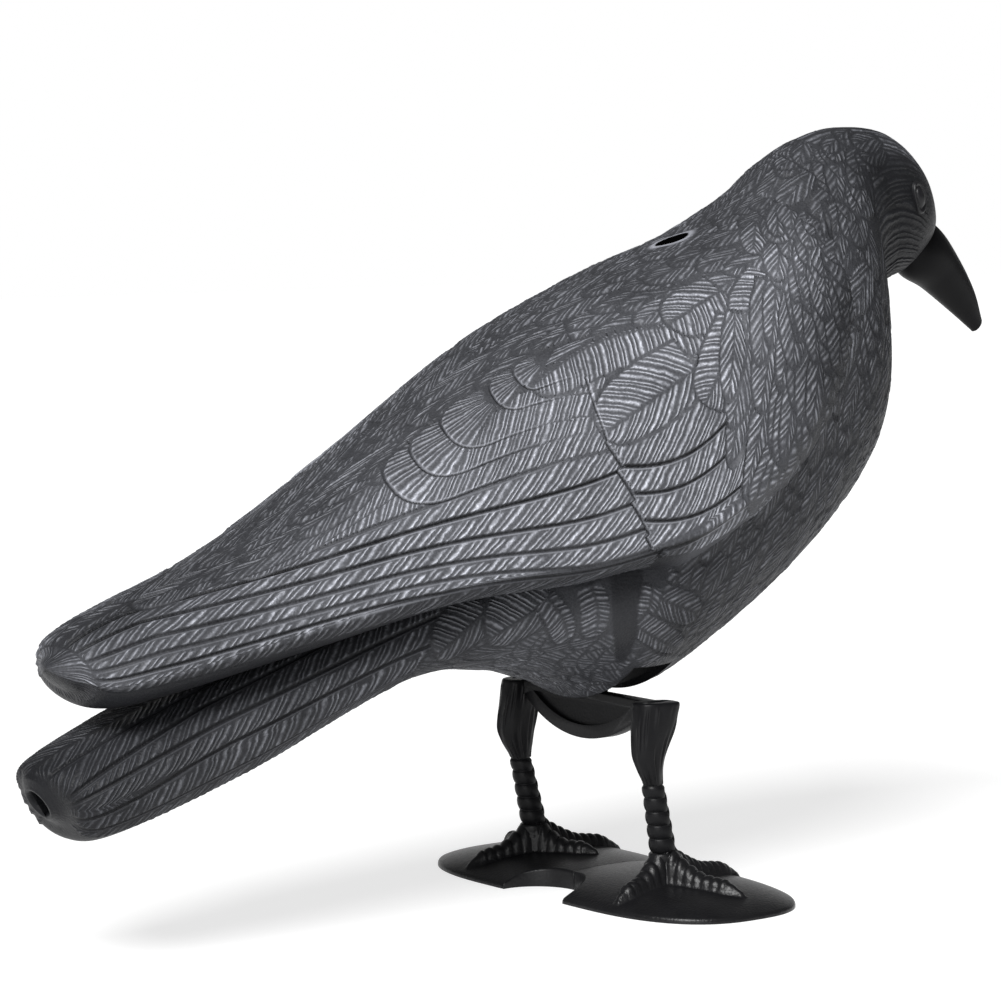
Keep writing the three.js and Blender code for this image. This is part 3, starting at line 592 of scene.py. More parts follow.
def trunkRelief():
    # Tail feathers as lanes, then belly, breast and neck in rows of small feathers, strokes on face,
    # throat and crown, the nape and the cheek's lines. The thigh's bare patch and the muzzle are smooth.
    relief = Relief(trunkSections, *trunkGrid())
    t, turn = relief.t, relief.turn
    rearward = np.clip(tailTipStop - t, 0, None)
    tail = [front + drop * rearward**1.2 for front, drop in tailEdges]
    layLanes(relief, tail, tailGrooves, t < tailEndStop, smooth(0.3, 0.9, t), tailLook)
    relief.barb *= smooth(0.1, 0.6, t)
    relief.lift *= smooth(0, 0.5, t)
    layField(relief, bellyFields, bellyLook, 21)
    layField(relief, breastFields, breastLook, 22)
    layList(relief, bellyLeaves, {**leafLook, "spacing": 1.5, "vary": 0.5, "barb": 0.85})
    layField(relief, neckFields, backLook, 24)
    layStrokes(relief, smooth(9.6, 10.4, t) * band(turn, 40, 54, 92, 104), faceStrokes, 0.6)
    layStrokes(relief, smooth(8.7, 9.3, t) * smooth(84, 96, turn), throatStrokes, 0.4)
    layStrokes(relief, smooth(9.3, 9.8, t) * smooth(58, 44, turn), crownStrokes, 0.2)
    layField(relief, napeFields, napeLook, 25)
    layList(relief, cheekLines, {**napeLook, "crown": 0.5, "outline": 0.5})
    bareFrom, bareTo = 4.67 + 0.00022 * np.clip(turn - 88, 0, None) ** 2, 5.09 + 0.0055 * np.abs(turn - 95)
    bare = smooth(0, 0.04, t - bareFrom) * smooth(0, 0.04, bareTo - t) * band(turn, 62, 70, 128, 134)
    face = smooth(9.8, 11.6, t) * band(turn, 40, 64, 98, 114)
    muzzle = smooth(12.4, 13.1, t)
    relief.barb *= (1 - bare) * (1 - 0.35 * face) * (1 - muzzle)
    relief.rimNear *= (1 - bare) * (1 - muzzle)
    relief.lift *= (1 - bare) * (1 - 0.7 * muzzle)
    cheek = band(t, 8.9, 9.8, 10.2, 11.4) * band(turn, 42, 66, 100, 118)
    relief.lift += 1.2 * cheek - 0.45 * smooth(8.6, 10, t)
    # The pale share: higher from the tail's middle on; lower from the middle forwards below the wing and
    # underneath, a painted shade; a little higher on the upper front; lower on neck and head, on the bare
    # patch and towards the tail's end
    relief.wear = 0.3 + 0.26 * smooth(3, 4, t) - 0.24 * smooth(5, 6, t) * smooth(60, 90, turn)
    relief.wear += 0.1 * smooth(5.6, 8, t) * smooth(105, 60, turn)
    darker = smooth(8.8, 11.0, t) * (0.2 + 0.36 * smooth(35, 65, turn))
    relief.wear *= 1 - 0.32 * smooth(7.2, 8.6, t) - darker
    relief.wear *= (1 - 0.5 * bare) * (0.28 + 0.66 * smooth(0.2, 2.6, t))
    channelGap = np.abs(relief.points[:, 0] - seatX) - bellyChannel["length"] / 2
    relief.lift *= 1 - smooth(4, 1.5, channelGap) * (relief.points[:, 2] < seatHeight + 14)
    return relief


# The hole in the tail's end, with the radius of the lip round it
tailBore = {"radius": 4.3, "depth": 20.0, "lip": 6.2}


def trunkCaps(lifted):
    # The tail's end face with the bore's lip, wall and bottom, all rings round the tail's axis
    ring = lifted[0]
    top, bottom = ring[0], ring[-1]
    rise = unit(top - bottom)
    inward = np.array([rise[2], 0, -rise[0]])
    turns = np.linspace(0, np.pi, len(ring))[:, None]
    circle = np.cos(turns) * rise + np.sin(turns) * [0, -1, 0]
    bore, deep = tailBore["radius"], tailBore["depth"]
    rings = []
    for share, radius, sink in (
            (0.4, 7.2, -0.8), (0.8, 6.9, -1.4), (1, tailBore["lip"], -1.5), (1, 5.8, -2.0),
            (1, 5.0, -2.0), (1, bore, -1.3), (1, bore, deep), (1, 0.2, deep)):
        level = (top + bottom) / 2 + inward * (sink + 0.4)
        rings.append(ring * (1 - share) + (level + circle * radius) * share)
    return np.array(rings[::-1]), np.array(domeRows(lifted[-1], 0.5, np.array([1, 0, -1.0]), 1))


def birdHalves():
    # Wing and trunk, each once and mirrored, with a fillet where the one comes out of the other
    halves = []
    for label, carving, caps, other, joinTop, joinSide, turn in (
            ("wing", wingRelief, wingCaps, trunkSections, 5.7, 4.3, 70),
            ("trunk", trunkRelief, trunkCaps, wingSections, 6.5, 5.4, 55)):
        relief = carving()
        relief.calmSeams()
        slotLip(relief)
        share = smooth(turn - 15, turn + 15, relief.turn)
        joinFrom = joinTop + (joinSide - joinTop) * share
        reach = joinReach["top"] + (joinReach["side"] - joinReach["top"]) * share
        relief.lift += filletLift(relief.points, other, reach) * smooth(0, 0.6, relief.t - joinFrom)
        for name, side in (("right", 1), ("left", -1)):
            halves.append(halfShell(f"crow_{label}_{name}", side, relief, caps))
        print(label, "carved")
    return halves


pieces = birdHalves()


def circleTurns(count):  # angles at even steps round a full circle
    return np.linspace(0, 2 * np.pi, count + 1)[:-1]


def beak():  # the beak's loft, rounded off at the tip
    t, angle = np.meshgrid(np.linspace(0, 4, 90), circleTurns(72), indexing="ij")
    points = loftPoint(beakSections, t, angle)
    tip = domeRows(points[-1], 1.0, np.array([0.25, 0, -0.95]), 5)
    return ringBody("crow_beak", np.concatenate([points, tip]))


# The eye's place on the head, its whole radius, the ball's and the lid's radius and height, how much
# longer and taller than round it is, how deep its border sinks in and how proud its ground stands
eyeShape = {
    "t": 12.25, "angle": 83.0, "radius": 4.9, "ball": 2.9, "ballHeight": 1.3, "lid": 3.9, "lidHeight": 0.6,
    "long": 0.95, "tall": 1.2, "sink": 1.2, "proud": 0.25,
}


def eye(side):
    # Rings about the eye's place on the head: the ball, the hollow round it and the almond-shaped lid
    shape = eyeShape
    reach, turn = np.meshgrid(np.linspace(0.02, 1, 34), circleTurns(64), indexing="ij")
    t, angle = shape["t"], np.radians(shape["angle"])
    here, near = loftPoint(trunkSections, t, angle), 0.1
    slopes = [np.linalg.norm(loftPoint(trunkSections, t + dt, angle + da) - here) / near
              for dt, da in ((near, 0), (0, near))]
    r = reach * shape["radius"]
    u, v = r * np.cos(turn) * shape["long"], r * np.sin(turn) * shape["tall"]
    points = loftPoint(trunkSections, t + u / slopes[0], angle + v / slopes[1])
    ball = shape["ballHeight"] * np.sqrt(np.clip(1 - (r / shape["ball"]) ** 2, 0, 1))
    lid = shape["lidHeight"] * np.exp(-(((r - shape["lid"]) / 0.5) ** 2))
    points[..., 1] -= ball + lid + shape["proud"] - shape["sink"] * smooth(0.86, 1, reach)
    return ringBody(f"crow_eye_{'right' if side > 0 else 'left'}", points * [1, side, 1])


pieces.append(beak())
pieces += [eye(1), eye(-1)]
print("beak and eyes made")


def prism(name, outline, low, high, place=lambda flat, height: np.column_stack([flat, height])):
    # A flat outline carried from low to high along its own normal. place turns (outline, height) into xyz
    return ringBody(name, np.array([place(outline, np.full(len(outline), level)) for level in (low, high)]))


def carve(targets, tool, operation="DIFFERENCE"):
    # Cuts the tool out of each target, or joins it on, keeps the result as its mesh and drops the tool
    for piece in targets:
        modifier = piece.modifiers.new("carve", "BOOLEAN")
        modifier.operation, modifier.solver, modifier.object = operation, "MANIFOLD", tool
        bpy.context.view_layer.update()
        graph = bpy.context.evaluated_depsgraph_get()
        result = bpy.data.meshes.new_from_object(piece.evaluated_get(graph), depsgraph=graph)
        piece.modifiers.clear()
        piece.data = result
    bpy.data.objects.remove(tool)


def paintSlotShade(piece):
    # The slot's walls and floor take the second material, a near-black painted shade: faces in the
    # slot that stand upright in it, or that lie at its depth
    here, rail, rise = slotFrame()
    middles, normals = np.empty((2, len(piece.data.polygons) * 3))
    piece.data.polygons.foreach_get("center", middles)
    piece.data.polygons.foreach_get("normal", normals)
    offset = middles.reshape(-1, 3) / mm - here
    height = offset @ rise
    half = np.array([backSlot["length"], backSlot["width"]]) / 2 + 0.2
    within = (np.abs(offset @ rail) < half[0]) & (np.abs(offset[:, 1]) < half[1])
    upright = np.abs(normals.reshape(-1, 3) @ rise) < 0.35
    wall = (height > -backSlot["depth"] - 1) & (height < 0.6) & upright
    floor = np.abs(height + backSlot["depth"]) < 0.5
    for _ in range(2):
        piece.data.materials.append(None)
    piece.data.polygons.foreach_set("material_index", (within & (wall | floor)).astype(int))


def cutOpenings():
    # The slot is a pointed oval cut into all four halves, the channel a long block cut into the trunk
    turns = circleTurns(96)
    lens = np.sign(np.sin(turns)) * np.abs(np.sin(turns)) ** backSlot["point"]
    oval = np.stack([backSlot["length"] / 2 * np.cos(turns), backSlot["width"] / 2 * lens], -1)
    here, rail, rise = slotFrame()
    place = lambda flat, height: here + np.column_stack([flat, height]) @ [rail, [0, 1, 0], rise]
    slot = prism("slot_tool", oval, -backSlot["depth"], backSlot["depth"], place)
    corners = np.array([[-1, -1], [1, -1], [1, 1], [-1, 1]])
    block = corners * [bellyChannel["length"] / 2, bellyChannel["reach"]] + [seatX, 0]
    low, high = seatHeight - bellyChannel["below"], seatHeight + bellyChannel["above"]
    carve(pieces[:4], slot)
    carve(pieces[2:4], prism("channel_tool", block, low, high))
    for piece in pieces[:4]:
        paintSlotShade(piece)


cutOpenings()
print("slot and channel cut")


# Leg bracket: two legs with a flat top and a ringed shank, the bridge between them, all one moulding.
legShape = {
    "spacing": 71.5, "thighLength": 14.6, "thighWidth": 10.0, "thighHeight": 27.0, "ankleHeight": 17.0,
    "shankTop": (6.4, 6.0), "shankEnd": (8.0, 7.2), "rings": 5, "ringDepth": 0.6, "setback": 0.7,
    "slope": 5.3, "bulge": 2.5, "kneeInset": 0.9, "ankleInset": 1.75, "around": 96,
}
# Down the thigh: share of the way down, of the calf's bulge and of the knee's inset, length and width
# against the flat top's, and the section's sideways lean for each unit forward
thighRows = np.array([
    [0, 0, 0, 0.96, 0.96, 0.2], [0.03, 0, 0, 1, 1, 0.2], [0.3, 0.45, 0.5, 1, 1, 0.1],
    [0.5, 0.85, 0.85, 0.93, 0.97, -0.05], [0.66, 1, 1, 0.86, 0.9, -0.12], [0.83, 0.72, 1, 0.68, 0.77, -0.17],
    [1, 0.28, 1, 6.4 / 14.6, 0.6, -0.1],
])
bridgeShape = {
    "thickness": 5.0, "depth": 16.0, "radius": 46.5, "halfLength": 33.25, "rim": 4.4, "recess": 1.6,
    "topRim": 3.0, "tabWidth": 16.0, "tabHeight": 19.5, "edge": 0.5,
}
topSlit = {"length": 8.5, "width": 2.6, "depth": 2.0, "ahead": 0.6}  # a slit in each leg's flat top


def ovalRings(middle, z, long, wide, power, shear, angle):
    # Level ovals, one for each height, squared by their power and sheared sideways as they go forward
    c, s = np.cos(angle), np.sin(angle)
    forward = long[:, None] * np.sign(c) * np.abs(c) ** (2 / power[:, None])
    across = wide[:, None] * np.sign(s) * np.abs(s) ** (2 / power[:, None])
    heights = np.broadcast_to(z[:, None], forward.shape)
    return np.stack([middle[:, :1] + forward, middle[:, 1:] + across + shear[:, None] * forward, heights], -1)


def swell(rings, middle, amount):  # moves the rings' points out from their middle
    rings[..., :2] += unit(rings[..., :2] - middle[:, None]) * amount[..., None]
    return rings


def closedTube(name, rings):
    # Joins closed rings into a tube; each end is drawn in towards its middle before it is filled
    first, last = ([ring + (ring.mean(0) - ring) * share for share in (0.5, 0.9)] for ring in rings[[0, -1]])
    return ringBody(name, np.array([*first[::-1], *rings, *last]))


def leg(side):
    # The thigh's rings follow thighRows, softened, with carved grain; the shank's swell in even rings,
    # set half a ring lower in front, with a line down each side
    shape = legShape
    y = side * shape["spacing"] / 2
    kneeX, kneeZ = seatX - shape["setback"], seatHeight - shape["thighHeight"]
    angle = circleTurns(shape["around"])

    down = np.concatenate([[0, 0.004, 0.012, 0.025], np.linspace(0.045, 1, 50)])
    rows = (np.interp(down, thighRows[:, 0], thighRows[:, k]) for k in range(1, 6))
    back, inset, long, wide, lean = (
        np.convolve(np.pad(row, 3, mode="edge"), np.ones(7) / 7, "valid") for row in rows)
    corner = np.sqrt(np.clip(1 - (1 - np.clip(down / 0.025, 0, 1)) ** 2, 0, 1)) * 0.7 - 0.7
    middle = np.stack([seatX - shape["bulge"] * back, y - side * shape["kneeInset"] * inset], -1)
    long, wide = long * shape["thighLength"] / 2 + corner, wide * shape["thighWidth"] / 2 + corner
    height = seatHeight + (kneeZ - seatHeight) * down
    thigh = ovalRings(middle, height, long, wide, 2.8 - 0.8 * down, side * lean, angle)
    grain = np.sin(angle * 17 + 1.3) + 0.7 * np.sin(angle * 29 + 4) + 0.5 * np.sin(angle * 41)
    grain = grain[None] * np.sin(down * 9 + angle[:, None] * 3).T * 0.5 + grain[None] * 0.5
    thigh = swell(thigh, middle, 0.28 * grain * smooth(0.02, 0.1, down)[:, None])

    down = np.linspace(0, 1, 20 * shape["rings"] + 1)[1:]
    front = smooth(0.55, 0.75, np.cos(angle))
    part = (down[:, None] * shape["rings"] + 0.5 * front[None]) % 1
    bulb = np.abs(np.sin(np.pi * part)) ** 0.55 * smooth(0, 0.06, down)[:, None]
    line = np.exp(-(((np.cos(angle) - 0.62) / 0.05) ** 2)) * 0.35
    sizes = [(top + (end - top) * down) / 2 for top, end in zip(shape["shankTop"], shape["shankEnd"])]
    inset = shape["kneeInset"] + (shape["ankleInset"] - shape["kneeInset"]) * down
    middle = np.stack([kneeX + shape["slope"] * down, y - side * inset], -1)
    shank = ovalRings(middle, kneeZ + (shape["ankleHeight"] - kneeZ) * down, *sizes,
                      np.full(len(down), 2.0), np.zeros(len(down)), angle)
    shank = swell(shank, middle, shape["ringDepth"] * 1.15 * bulb - line[None])
    return closedTube(f"leg_{side}", np.concatenate([thigh, shank]))


def bracket():
    # The bridge is a flat plate between two arcs, with a tab on top and a recess behind; its edges are
    # bevelled, and both legs are joined to it
    shape = bridgeShape
    half, rear = shape["halfLength"], seatX - shape["thickness"] / 2
    arcCentre = shape["radius"] - shape["depth"]
    arc = lambda y, radius: np.column_stack([y, arcCentre - np.sqrt(radius**2 - y**2)])
    place = lambda flat, x: np.column_stack([x, flat[:, 0], flat[:, 1] + seatHeight])
    tabHalf, tabTop = shape["tabWidth"] / 2, shape["tabHeight"]
    tab = [[half, 0], [tabHalf, 0], [tabHalf, tabTop], [-tabHalf, tabTop], [-tabHalf, 0], [-half, 0]]
    outline = np.concatenate([arc(np.linspace(-half, half, 65), shape["radius"]), tab])
    body = prism("bracket", outline, rear, rear + shape["thickness"], place)
    inner = shape["radius"] - shape["rim"]
    recessHalf = np.sqrt(inner**2 - (arcCentre + shape["topRim"]) ** 2)
    hollow = arc(np.linspace(-recessHalf, recessHalf, 49), inner)
    carve([body], prism("recess_tool", hollow, rear - 4, rear + shape["recess"], place))
    bevel = body.modifiers.new("edge", "BEVEL")
    bevel.width, bevel.segments, bevel.limit_method = shape["edge"] * mm, 3, "ANGLE"
    turns = circleTurns(48)
    lens = np.column_stack([topSlit["length"] / 2 * np.cos(turns), topSlit["width"] / 2 * np.sin(turns)])
    for side in (1, -1):
        part, middle = leg(side), [seatX + topSlit["ahead"], side * legShape["spacing"] / 2]
        carve([part], prism("slit_tool", lens + middle, seatHeight - topSlit["depth"], seatHeight + 1))
        carve([body], part, "UNION")
    body.data.shade_smooth()
    return body


bracketPiece = bracket()
print("bracket made")


# Base: two overlapping domed lobes with a round notch behind, and the feet with ringed toes on them.
baseShape = {
    "length": 68.0, "width": 100.0, "offset": 24.0, "power": 2.6, "rim": 1.4, "dome": 7.8,
    "notchRadius": 15.6, "notchX": -32.0, "edge": 0.8, "rings": 84, "around": 330,
}
footShape = {
    "x": -6.4, "y": 34.0, "toeHeight": 5.0, "toeWidth": 7.2, "claw": 1.6, "ring": 3.1,
    "top": 16.7, "foot": 4.0,
}
toeTips = [[35.4, -3], [10.4, 28.5], [-24.6, 5.5], [11.4, -20.5]]


def lobeShare(x, y):  # how far out a point lies in the lobe whose centre is at +offset
    shape = baseShape
    long = np.abs(2 * x / shape["length"]) ** shape["power"]
    wide = np.abs(2 * (y - shape["offset"]) / shape["width"]) ** shape["power"]
    return (long + wide) ** (1 / shape["power"])


def toeRise(x, y, tip):
    # A toe's height over the dome: a ridge from the ankle to the claw, cut by rings
    length = np.linalg.norm(tip)
    along, across = np.array(tip) / length, np.array([-tip[1], tip[0]]) / length
    x, y = x - footShape["x"], y - footShape["y"]
    u, v = (x * along[0] + y * along[1]) / length, x * across[0] + y * across[1]
    claw = np.clip((u - 0.78) / 0.22, 0, 1)
    half = footShape["toeWidth"] / 2 * (1.45 - 0.7 * u) * (1 - claw) + footShape["claw"] / 2 * claw
    high = footShape["toeHeight"] * (0.8 + 1.9 * np.clip(1 - 1.9 * u, 0, 1) ** 1.4)
    high = high * (1 - claw) + footShape["claw"] * 0.7 * claw
    cut = (1 - np.abs(np.sin(np.pi * u * length / footShape["ring"])) ** 0.6) * (1 - claw)
    arch = np.clip(1 - np.abs(v / (half * (1 - 0.08 * cut))) ** 2.2, 0, 1) ** 0.55
    return high * (1 - 0.2 * cut) * arch * smooth(1.02, 0.985, u) * (u > -0.05)


def baseTop(x, y):  # the dome, which falls from the lobe's middle to its rim, and the highest toe on it
    share = np.minimum(1, lobeShare(x, y))
    dome = baseShape["rim"] + (baseShape["dome"] - baseShape["rim"]) * (1 - share**2.4) ** 0.8
    return dome + np.max([toeRise(x, y, tip) for tip in toeTips], axis=0)


def baseHalf(side):
    # A lobe as rings about its centre: the boundary runs along the rim, the notch and the middle plane.
    # Rim and notch have a round edge, a quarter circle of rings.
    shape = baseShape
    turns = np.linspace(-np.pi / 2, 1.5 * np.pi, 4001)
    c, s = (np.sign(wave) * np.abs(wave) ** (2 / shape["power"]) for wave in (np.cos(turns), np.sin(turns)))
    rim = np.column_stack([shape["length"] / 2 * c, shape["offset"] + shape["width"] / 2 * s])
    rim = rim[(rim[:, 1] >= 0) & (np.hypot(rim[:, 0] - shape["notchX"], rim[:, 1]) > shape["notchRadius"])]
    bend = np.linspace(np.arctan2(rim[-1, 1], rim[-1, 0] - shape["notchX"]), 0, 200)
    notch = np.column_stack([np.cos(bend), np.sin(bend)]) * shape["notchRadius"] + [shape["notchX"], 0]
    middle = np.column_stack([np.linspace(notch[-1, 0], rim[0, 0], 200), np.zeros(200)])
    counts = [int(shape["around"] * share) for share in (0.6, 0.16, 0.24)]
    runs = []
    for line, count in zip((rim, notch, middle), counts):
        number = np.arange(len(line))
        marks = evenSteps(line, number, count + 1)[:-1]
        runs.append(np.column_stack([np.interp(marks, number, line[:, k]) for k in (0, 1)]))
    edge, centre = np.concatenate(runs), np.array([0, shape["offset"]])
    bevel = shape["edge"] * np.repeat([1, 1, 0], counts)
    inward, radius = unit(centre - edge), np.linalg.norm(centre - edge, axis=1)
    rings = [np.column_stack([flat, np.zeros(len(edge))]) for flat in (edge * 0.3 + centre * 0.7, edge)]
    bends = np.linspace(0, np.pi / 2, 6)
    insets = [(bevel * (1 - np.cos(bend)), bevel * (1 - np.sin(bend))) for bend in bends]
    insets += [(bevel + (radius - bevel) * share, 0) for share in np.linspace(0, 1, shape["rings"])[1:-1]]
    for inset, drop in insets:
        place = edge + inward * inset[:, None]
        rings.append(np.column_stack([place, baseTop(place[:, 0], place[:, 1]) - drop]))
    return ringBody(f"base_{'right' if side < 0 else 'left'}", np.array(rings) * [1, side, 1], sharp=1)


def footHub(side):
    # The ankle's socket: an oval post that widens into the toes
    down = np.linspace(0, 1, 30)
    spread = 1 + 0.55 * smooth(0.35, 1, down) ** 1.4
    height = footShape["top"] + (footShape["foot"] - footShape["top"]) * down
    corner = 0.4 * (1 - smooth(0, 0.04, down))
    centre = np.array([footShape["x"], side * footShape["y"]])
    rings = ovalRings(np.tile(centre, (30, 1)), height, 5.0 * spread - corner, 4.5 * spread - corner,
                      np.full(30, 2.0), np.zeros(30), circleTurns(72))
    ripple = 1 + (0.05 * np.sin(height * 2.1) * smooth(0.1, 0.3, down))[:, None, None]
    rings[..., :2] = centre + (rings[..., :2] - centre) * ripple
    return closedTube(f"hub_{side}", rings)


basePieces = [baseHalf(1), baseHalf(-1)]
for half, side in zip(basePieces, (1, -1)):
    carve([half], footHub(side), "UNION")
print("base made")


# Shader maths: Value wraps a socket, so that an expression adds its own nodes.
class Value:
    def __init__(self, tree, socket):
        self.tree, self.socket = tree, socket

    def math(self, operation, *others):
        return self.tree.add("ShaderNodeMath", {"operation": operation}, {
            number: other for number, other in enumerate((self, *others))})

    def __add__(self, other): return self.math("ADD", other)
    def __radd__(self, other): return self.math("ADD", other)
    def __sub__(self, other): return self.math("SUBTRACT", other)
    def __mul__(self, other): return self.math("MULTIPLY", other)
    def __rmul__(self, other): return self.math("MULTIPLY", other)
    def __pow__(self, other): return self.math("POWER", other)

    def __rsub__(self, other):
        return self.tree.add("ShaderNodeMath", {"operation": "SUBTRACT"}, {0: other, 1: self})


class Tree:
    # A node tree: add makes any node from its type, settings and input values or links
    def __init__(self, owner):
        owner.use_nodes = True
        self.owner, self.nodes, self.links = owner, owner.node_tree.nodes, owner.node_tree.links

    def add(self, kind, settings, inputs, output=0):
        node = self.nodes.new(kind)
        for label, value in settings.items():
            setattr(node, label, value)
        self.fill(node, inputs)
        return Value(self, node.outputs[output])

    def fill(self, node, inputs):
        for label, value in inputs.items():
            if isinstance(value, Value):
                self.links.new(value.socket, node.inputs[label])
            else:
                node.inputs[label].default_value = value

    def attribute(self, label):
        return self.add("ShaderNodeAttribute", {"attribute_name": label}, {}, "Fac")

    def noise(self, scale, detail):
        place = self.add("ShaderNodeTexCoord", {}, {}, "Object")
        return self.add("ShaderNodeTexNoise", {}, {"Vector": place, "Scale": scale, "Detail": detail})

    def surface(self, roughness, specular, inputs):  # sets the shader's constants, then its varying inputs
        for values in ({"Roughness": roughness, "Specular IOR Level": specular}, inputs):
            self.fill(self.nodes["Principled BSDF"], values)
        return self.owner

    def carved(self, height, share, low, high):  # a bump of this height, and a colour between low and high
        bump = self.add("ShaderNodeBump", {}, {"Height": height, "Distance": mm, "Strength": 1.0})
        mix = self.add("ShaderNodeMix", {"data_type": "RGBA"}, {0: share, 6: (*low, 1), 7: (*high, 1)}, 2)
        return {"Normal": bump, "Base Color": mix}


# low is the plastic's near black; high is the pale colour that crests, lips and worn parts are painted
# towards, part wear and part painted highlight
featherPaint = {
    "low": (0.005, 0.0052, 0.0062), "high": (0.55, 0.565, 0.625), "roughness": 0.45, "specular": 0.15,
    "barbHeight": 0.75, "grooveDepth": 0.16, "lipHeight": 0.2, "grain": 0.25,
    "wobbleScale": 220, "patchScale": 60, "breakScale": 420, "grainScale": 1300,
    "groove": (0.0, 0.85), "lip": (1.0, 0.45), "rimGroove": (-0.25, 0.42), "rimLip": (0.45, 0.42),
}


def hump(value, place):  # 1 at the place's centre, 0 its width away and an S-shaped fall between
    centre, width = place
    near = (1 - ((value - centre) * (1 / width)).math("ABSOLUTE")).math("MAXIMUM", 0.0)
    return near * near * (3 - 2 * near)


def featherPlastic():
    # Barbs as waves along each feather, broken by noise, with grooves and lips at the feathers' edges.
    # Ridges are painted pale, part wear and part painted highlight; lips get a painted highlight and
    # grooves a painted shade.
    look = featherPaint
    paint = Tree(bpy.data.materials.new("feather_plastic"))
    turns, barb, rim, rimNear, lane, laneWidth, laneGroove, wear = map(paint.attribute, Relief.kept)
    wobble = paint.noise(look["wobbleScale"], 3) - 0.5
    patch = paint.noise(look["patchScale"], 2)
    uneven = (turns * 2.3).math("SINE") * 0.16 + (turns * 0.71).math("SINE") * 0.2
    wave = 0.5 - ((turns + uneven + wobble * 0.7) * (2 * np.pi)).math("COSINE") * 0.5
    broken = (paint.noise(look["breakScale"], 2) * 2.4 - 0.45).math("MAXIMUM", 0.25).math("MINIMUM", 1.0)
    fromEdge = (lane - lane.math("ROUND")) * laneWidth
    groove, lip = (hump(fromEdge, look[edge]) * laneGroove + hump(rim, look[outline]) * rimNear
                   for edge, outline in (("groove", "rimGroove"), ("lip", "rimLip")))
    ridge = (wave ** 1.8) * barb * broken * (patch * 1.1 + 0.45).math("MINIMUM", 1.0)
    ridge = ridge * (1 - groove).math("MAXIMUM", 0.0)
    grain = paint.noise(look["grainScale"], 3)
    height = ridge * look["barbHeight"] + grain * look["grain"] + lip * look["lipHeight"]
    # The pale share: crests paler, part wear and part painted highlight; lips a painted highlight; grooves a
    # painted shade; noise patches and grain vary the tone
    wornAndPaintedLight = (ridge * (grain * 1.05 + 0.4) + lip * 0.25 + patch * 0.1 + grain * 0.14 - groove * 0.12) * wear
    wornAndPaintedLight = wornAndPaintedLight.math("MAXIMUM", 0.0).math("MINIMUM", 1.0)
    inputs = paint.carved(height - groove * look["grooveDepth"], wornAndPaintedLight, look["low"], look["high"])
    return paint.surface(look["roughness"], look["specular"], inputs)


def blackPlastic(name, roughness, specular, grainScale, grainHeight, low, high):
    # Fine grain in the bump and in the gloss, and a colour that drifts between two near blacks
    paint = Tree(bpy.data.materials.new(name))
    grain = paint.noise(grainScale, 3)
    inputs = paint.carved(grain * grainHeight, paint.noise(140, 2), low, high)
    return paint.surface(roughness, specular, {**inputs, "Roughness": grain * 0.2 + (roughness - 0.1)})


feather = featherPlastic()
# Each plastic's roughness, specular level, grain's scale and height, darkest and lightest colour
plastics = {
    "beak": (0.42, 0.1, 1500, 0.03, (0.0015, 0.0015, 0.002), (0.004, 0.004, 0.0045)),
    "eye": (0.42, 0.3, 1500, 0.03, (0.006, 0.006, 0.007), (0.01, 0.01, 0.012)),
    "bracket": (0.4, 0.14, 1200, 0.06, (0.004, 0.004, 0.0045), (0.008, 0.008, 0.009)),
    "base": (0.34, 0.25, 1100, 0.14, (0.004, 0.004, 0.0045), (0.01, 0.01, 0.011)),
    # cut: a near-black, dull painted shade for the slot's walls and floor
    "cut": (0.8, 0.0, 1100, 0.0, (0.001, 0.001, 0.001), (0.001, 0.001, 0.001)),
}
blacks = {name: blackPlastic(f"{name}_plastic", *values) for name, values in plastics.items()}


def dress(piece, material, node):
    if len(piece.data.materials) > 1:
        # the second material is the slot's painted shade
        piece.data.materials[0], piece.data.materials[1] = material, blacks["cut"]
    else:
        piece.data.materials.clear()
        piece.data.materials.append(material)
    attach(piece, bodyName)
    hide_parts(node)


for piece in pieces:
    dress(piece, blacks.get(piece.name.split("_")[1], feather), "crow_body")
dress(bracketPiece, blacks["bracket"], "leg_bracket")
for piece in basePieces:
    dress(piece, blacks["base"], "base_plate")
print("materials set")


# Camera behind the bird's right side, a little above it, at the photograph's angle. The focal length
# is in pixels, for an image this wide.
view = {
    "azimuth": -38.0, "elevation": 5.5, "distance": 1.25, "target": (-0.0474, 0.0, 0.1322), "focal": 3846.2,
    "imageWidth": 1001, "sensor": 36,
}


def setCamera():
    azimuth, elevation = np.radians([view["azimuth"], view["elevation"]])
    level = np.cos(elevation)
    back = np.array([np.sin(azimuth) * level, -np.cos(azimuth) * level, np.sin(elevation)])
    data = bpy.data.cameras.new("camera")
    data.sensor_width, data.lens = view["sensor"], view["sensor"] * view["focal"] / view["imageWidth"]
    data.clip_end = 20
    camera = link("camera", data)
    camera.location = np.array(view["target"]) + view["distance"] * back
    camera.rotation_euler = (np.pi / 2 - elevation, 0, azimuth)
    bpy.context.scene.camera = camera


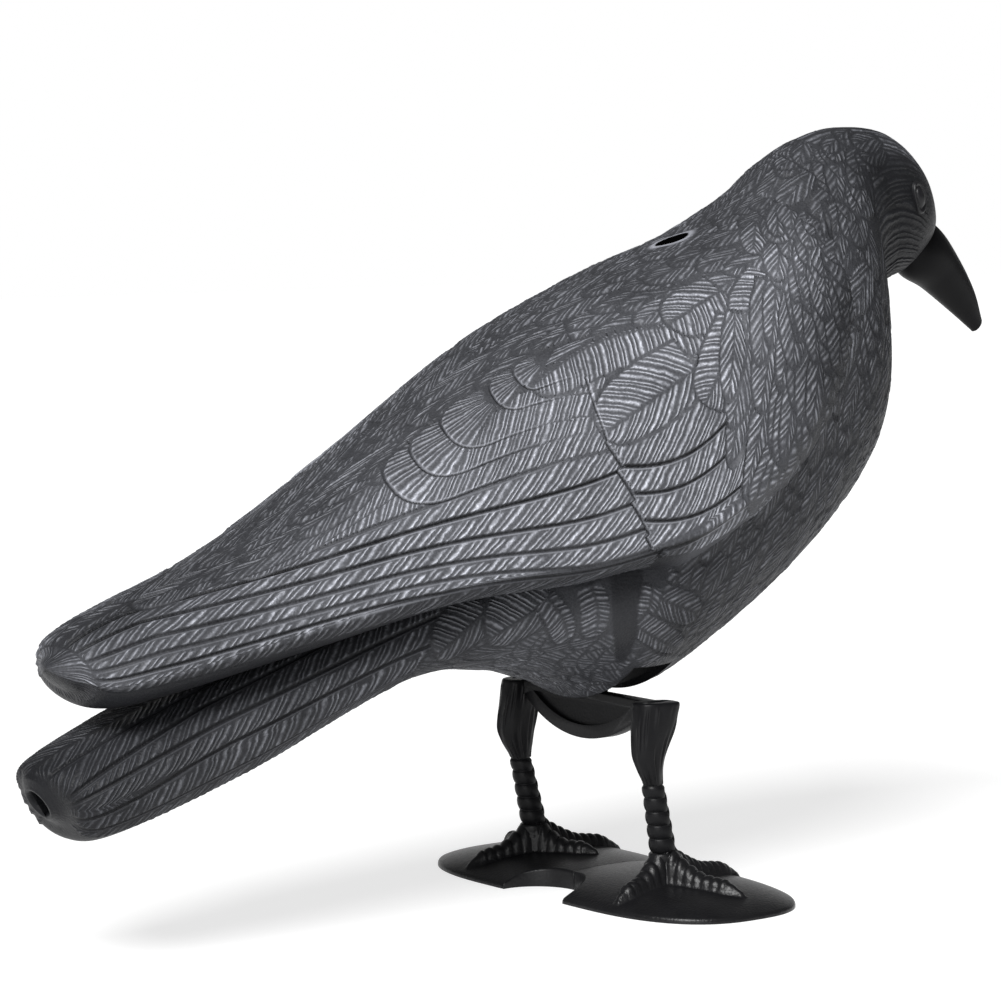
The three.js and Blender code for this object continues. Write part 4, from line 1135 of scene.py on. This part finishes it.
# A pale floor, lit a little from within so that it fades into the background, a soft sun from above
# and behind the bird's right side, and two low light cards for the sheen on base, legs and tail.
studio = {
    "floor": (0.4, 0.4, 0.4, 1), "floorGlow": 0.72, "floorReach": 4000, "floorDrop": 0.1, "seen": 1.0,
    "ambient": 0.13, "sun": {"from": (-0.58, -0.38, 0.74), "strength": 4.2, "spread": 28.0},
    "cards": (
        {"place": (0.85, 1.1, 0.22), "size": (2.0, 0.5), "power": 2.0},
        {"place": (-1.0, -0.9, 0.22), "size": (1.0, 0.6), "power": 4.5},
    ),
}


def addLight(name, kind, place):  # a light at this place, which shines towards the origin
    light = link(name, bpy.data.lights.new(name, kind))
    light.location = place
    light.rotation_euler = Vector(place).to_track_quat("Z", "Y").to_euler()
    return light


def setStudio():
    # The world is white where the camera sees it and dimmer as a light
    white = (1, 1, 1, 1)
    world = Tree(bpy.data.worlds.new("studio"))
    world.nodes.remove(world.nodes["Background"])
    ambient, seen = (world.add("ShaderNodeBackground", {}, {"Color": white, "Strength": studio[part]})
                     for part in ("ambient", "seen"))
    isSeen = world.add("ShaderNodeLightPath", {}, {}, "Is Camera Ray")
    mix = world.add("ShaderNodeMixShader", {}, {0: isSeen, 1: ambient, 2: seen})
    world.fill(world.nodes["World Output"], {"Surface": mix})
    bpy.context.scene.world = world.owner
    bpy.context.scene.view_settings.view_transform = "Standard"
    corners = np.array([[-1, -1, 0], [1, -1, 0], [1, 1, 0], [-1, 1, 0]]) * studio["floorReach"]
    floor = makeObject("floor", corners - [0, 0, studio["floorDrop"]], [[0, 1, 2, 3]])
    paper = {"Base Color": studio["floor"], "Emission Color": white, "Emission Strength": studio["floorGlow"]}
    floor.data.materials.append(Tree(bpy.data.materials.new("floor_paper")).surface(0.9, 0.1, paper))
    sun = addLight("sun", "SUN", studio["sun"]["from"]).data
    sun.energy, sun.angle = studio["sun"]["strength"], np.radians(studio["sun"]["spread"])
    for card in studio["cards"]:
        light = addLight("card", "AREA", card["place"])
        light.visible_camera, data = False, light.data
        data.shape, data.size, data.size_y, data.energy = "RECTANGLE", *card["size"], card["power"]


setCamera()
setStudio()
print("studio set")
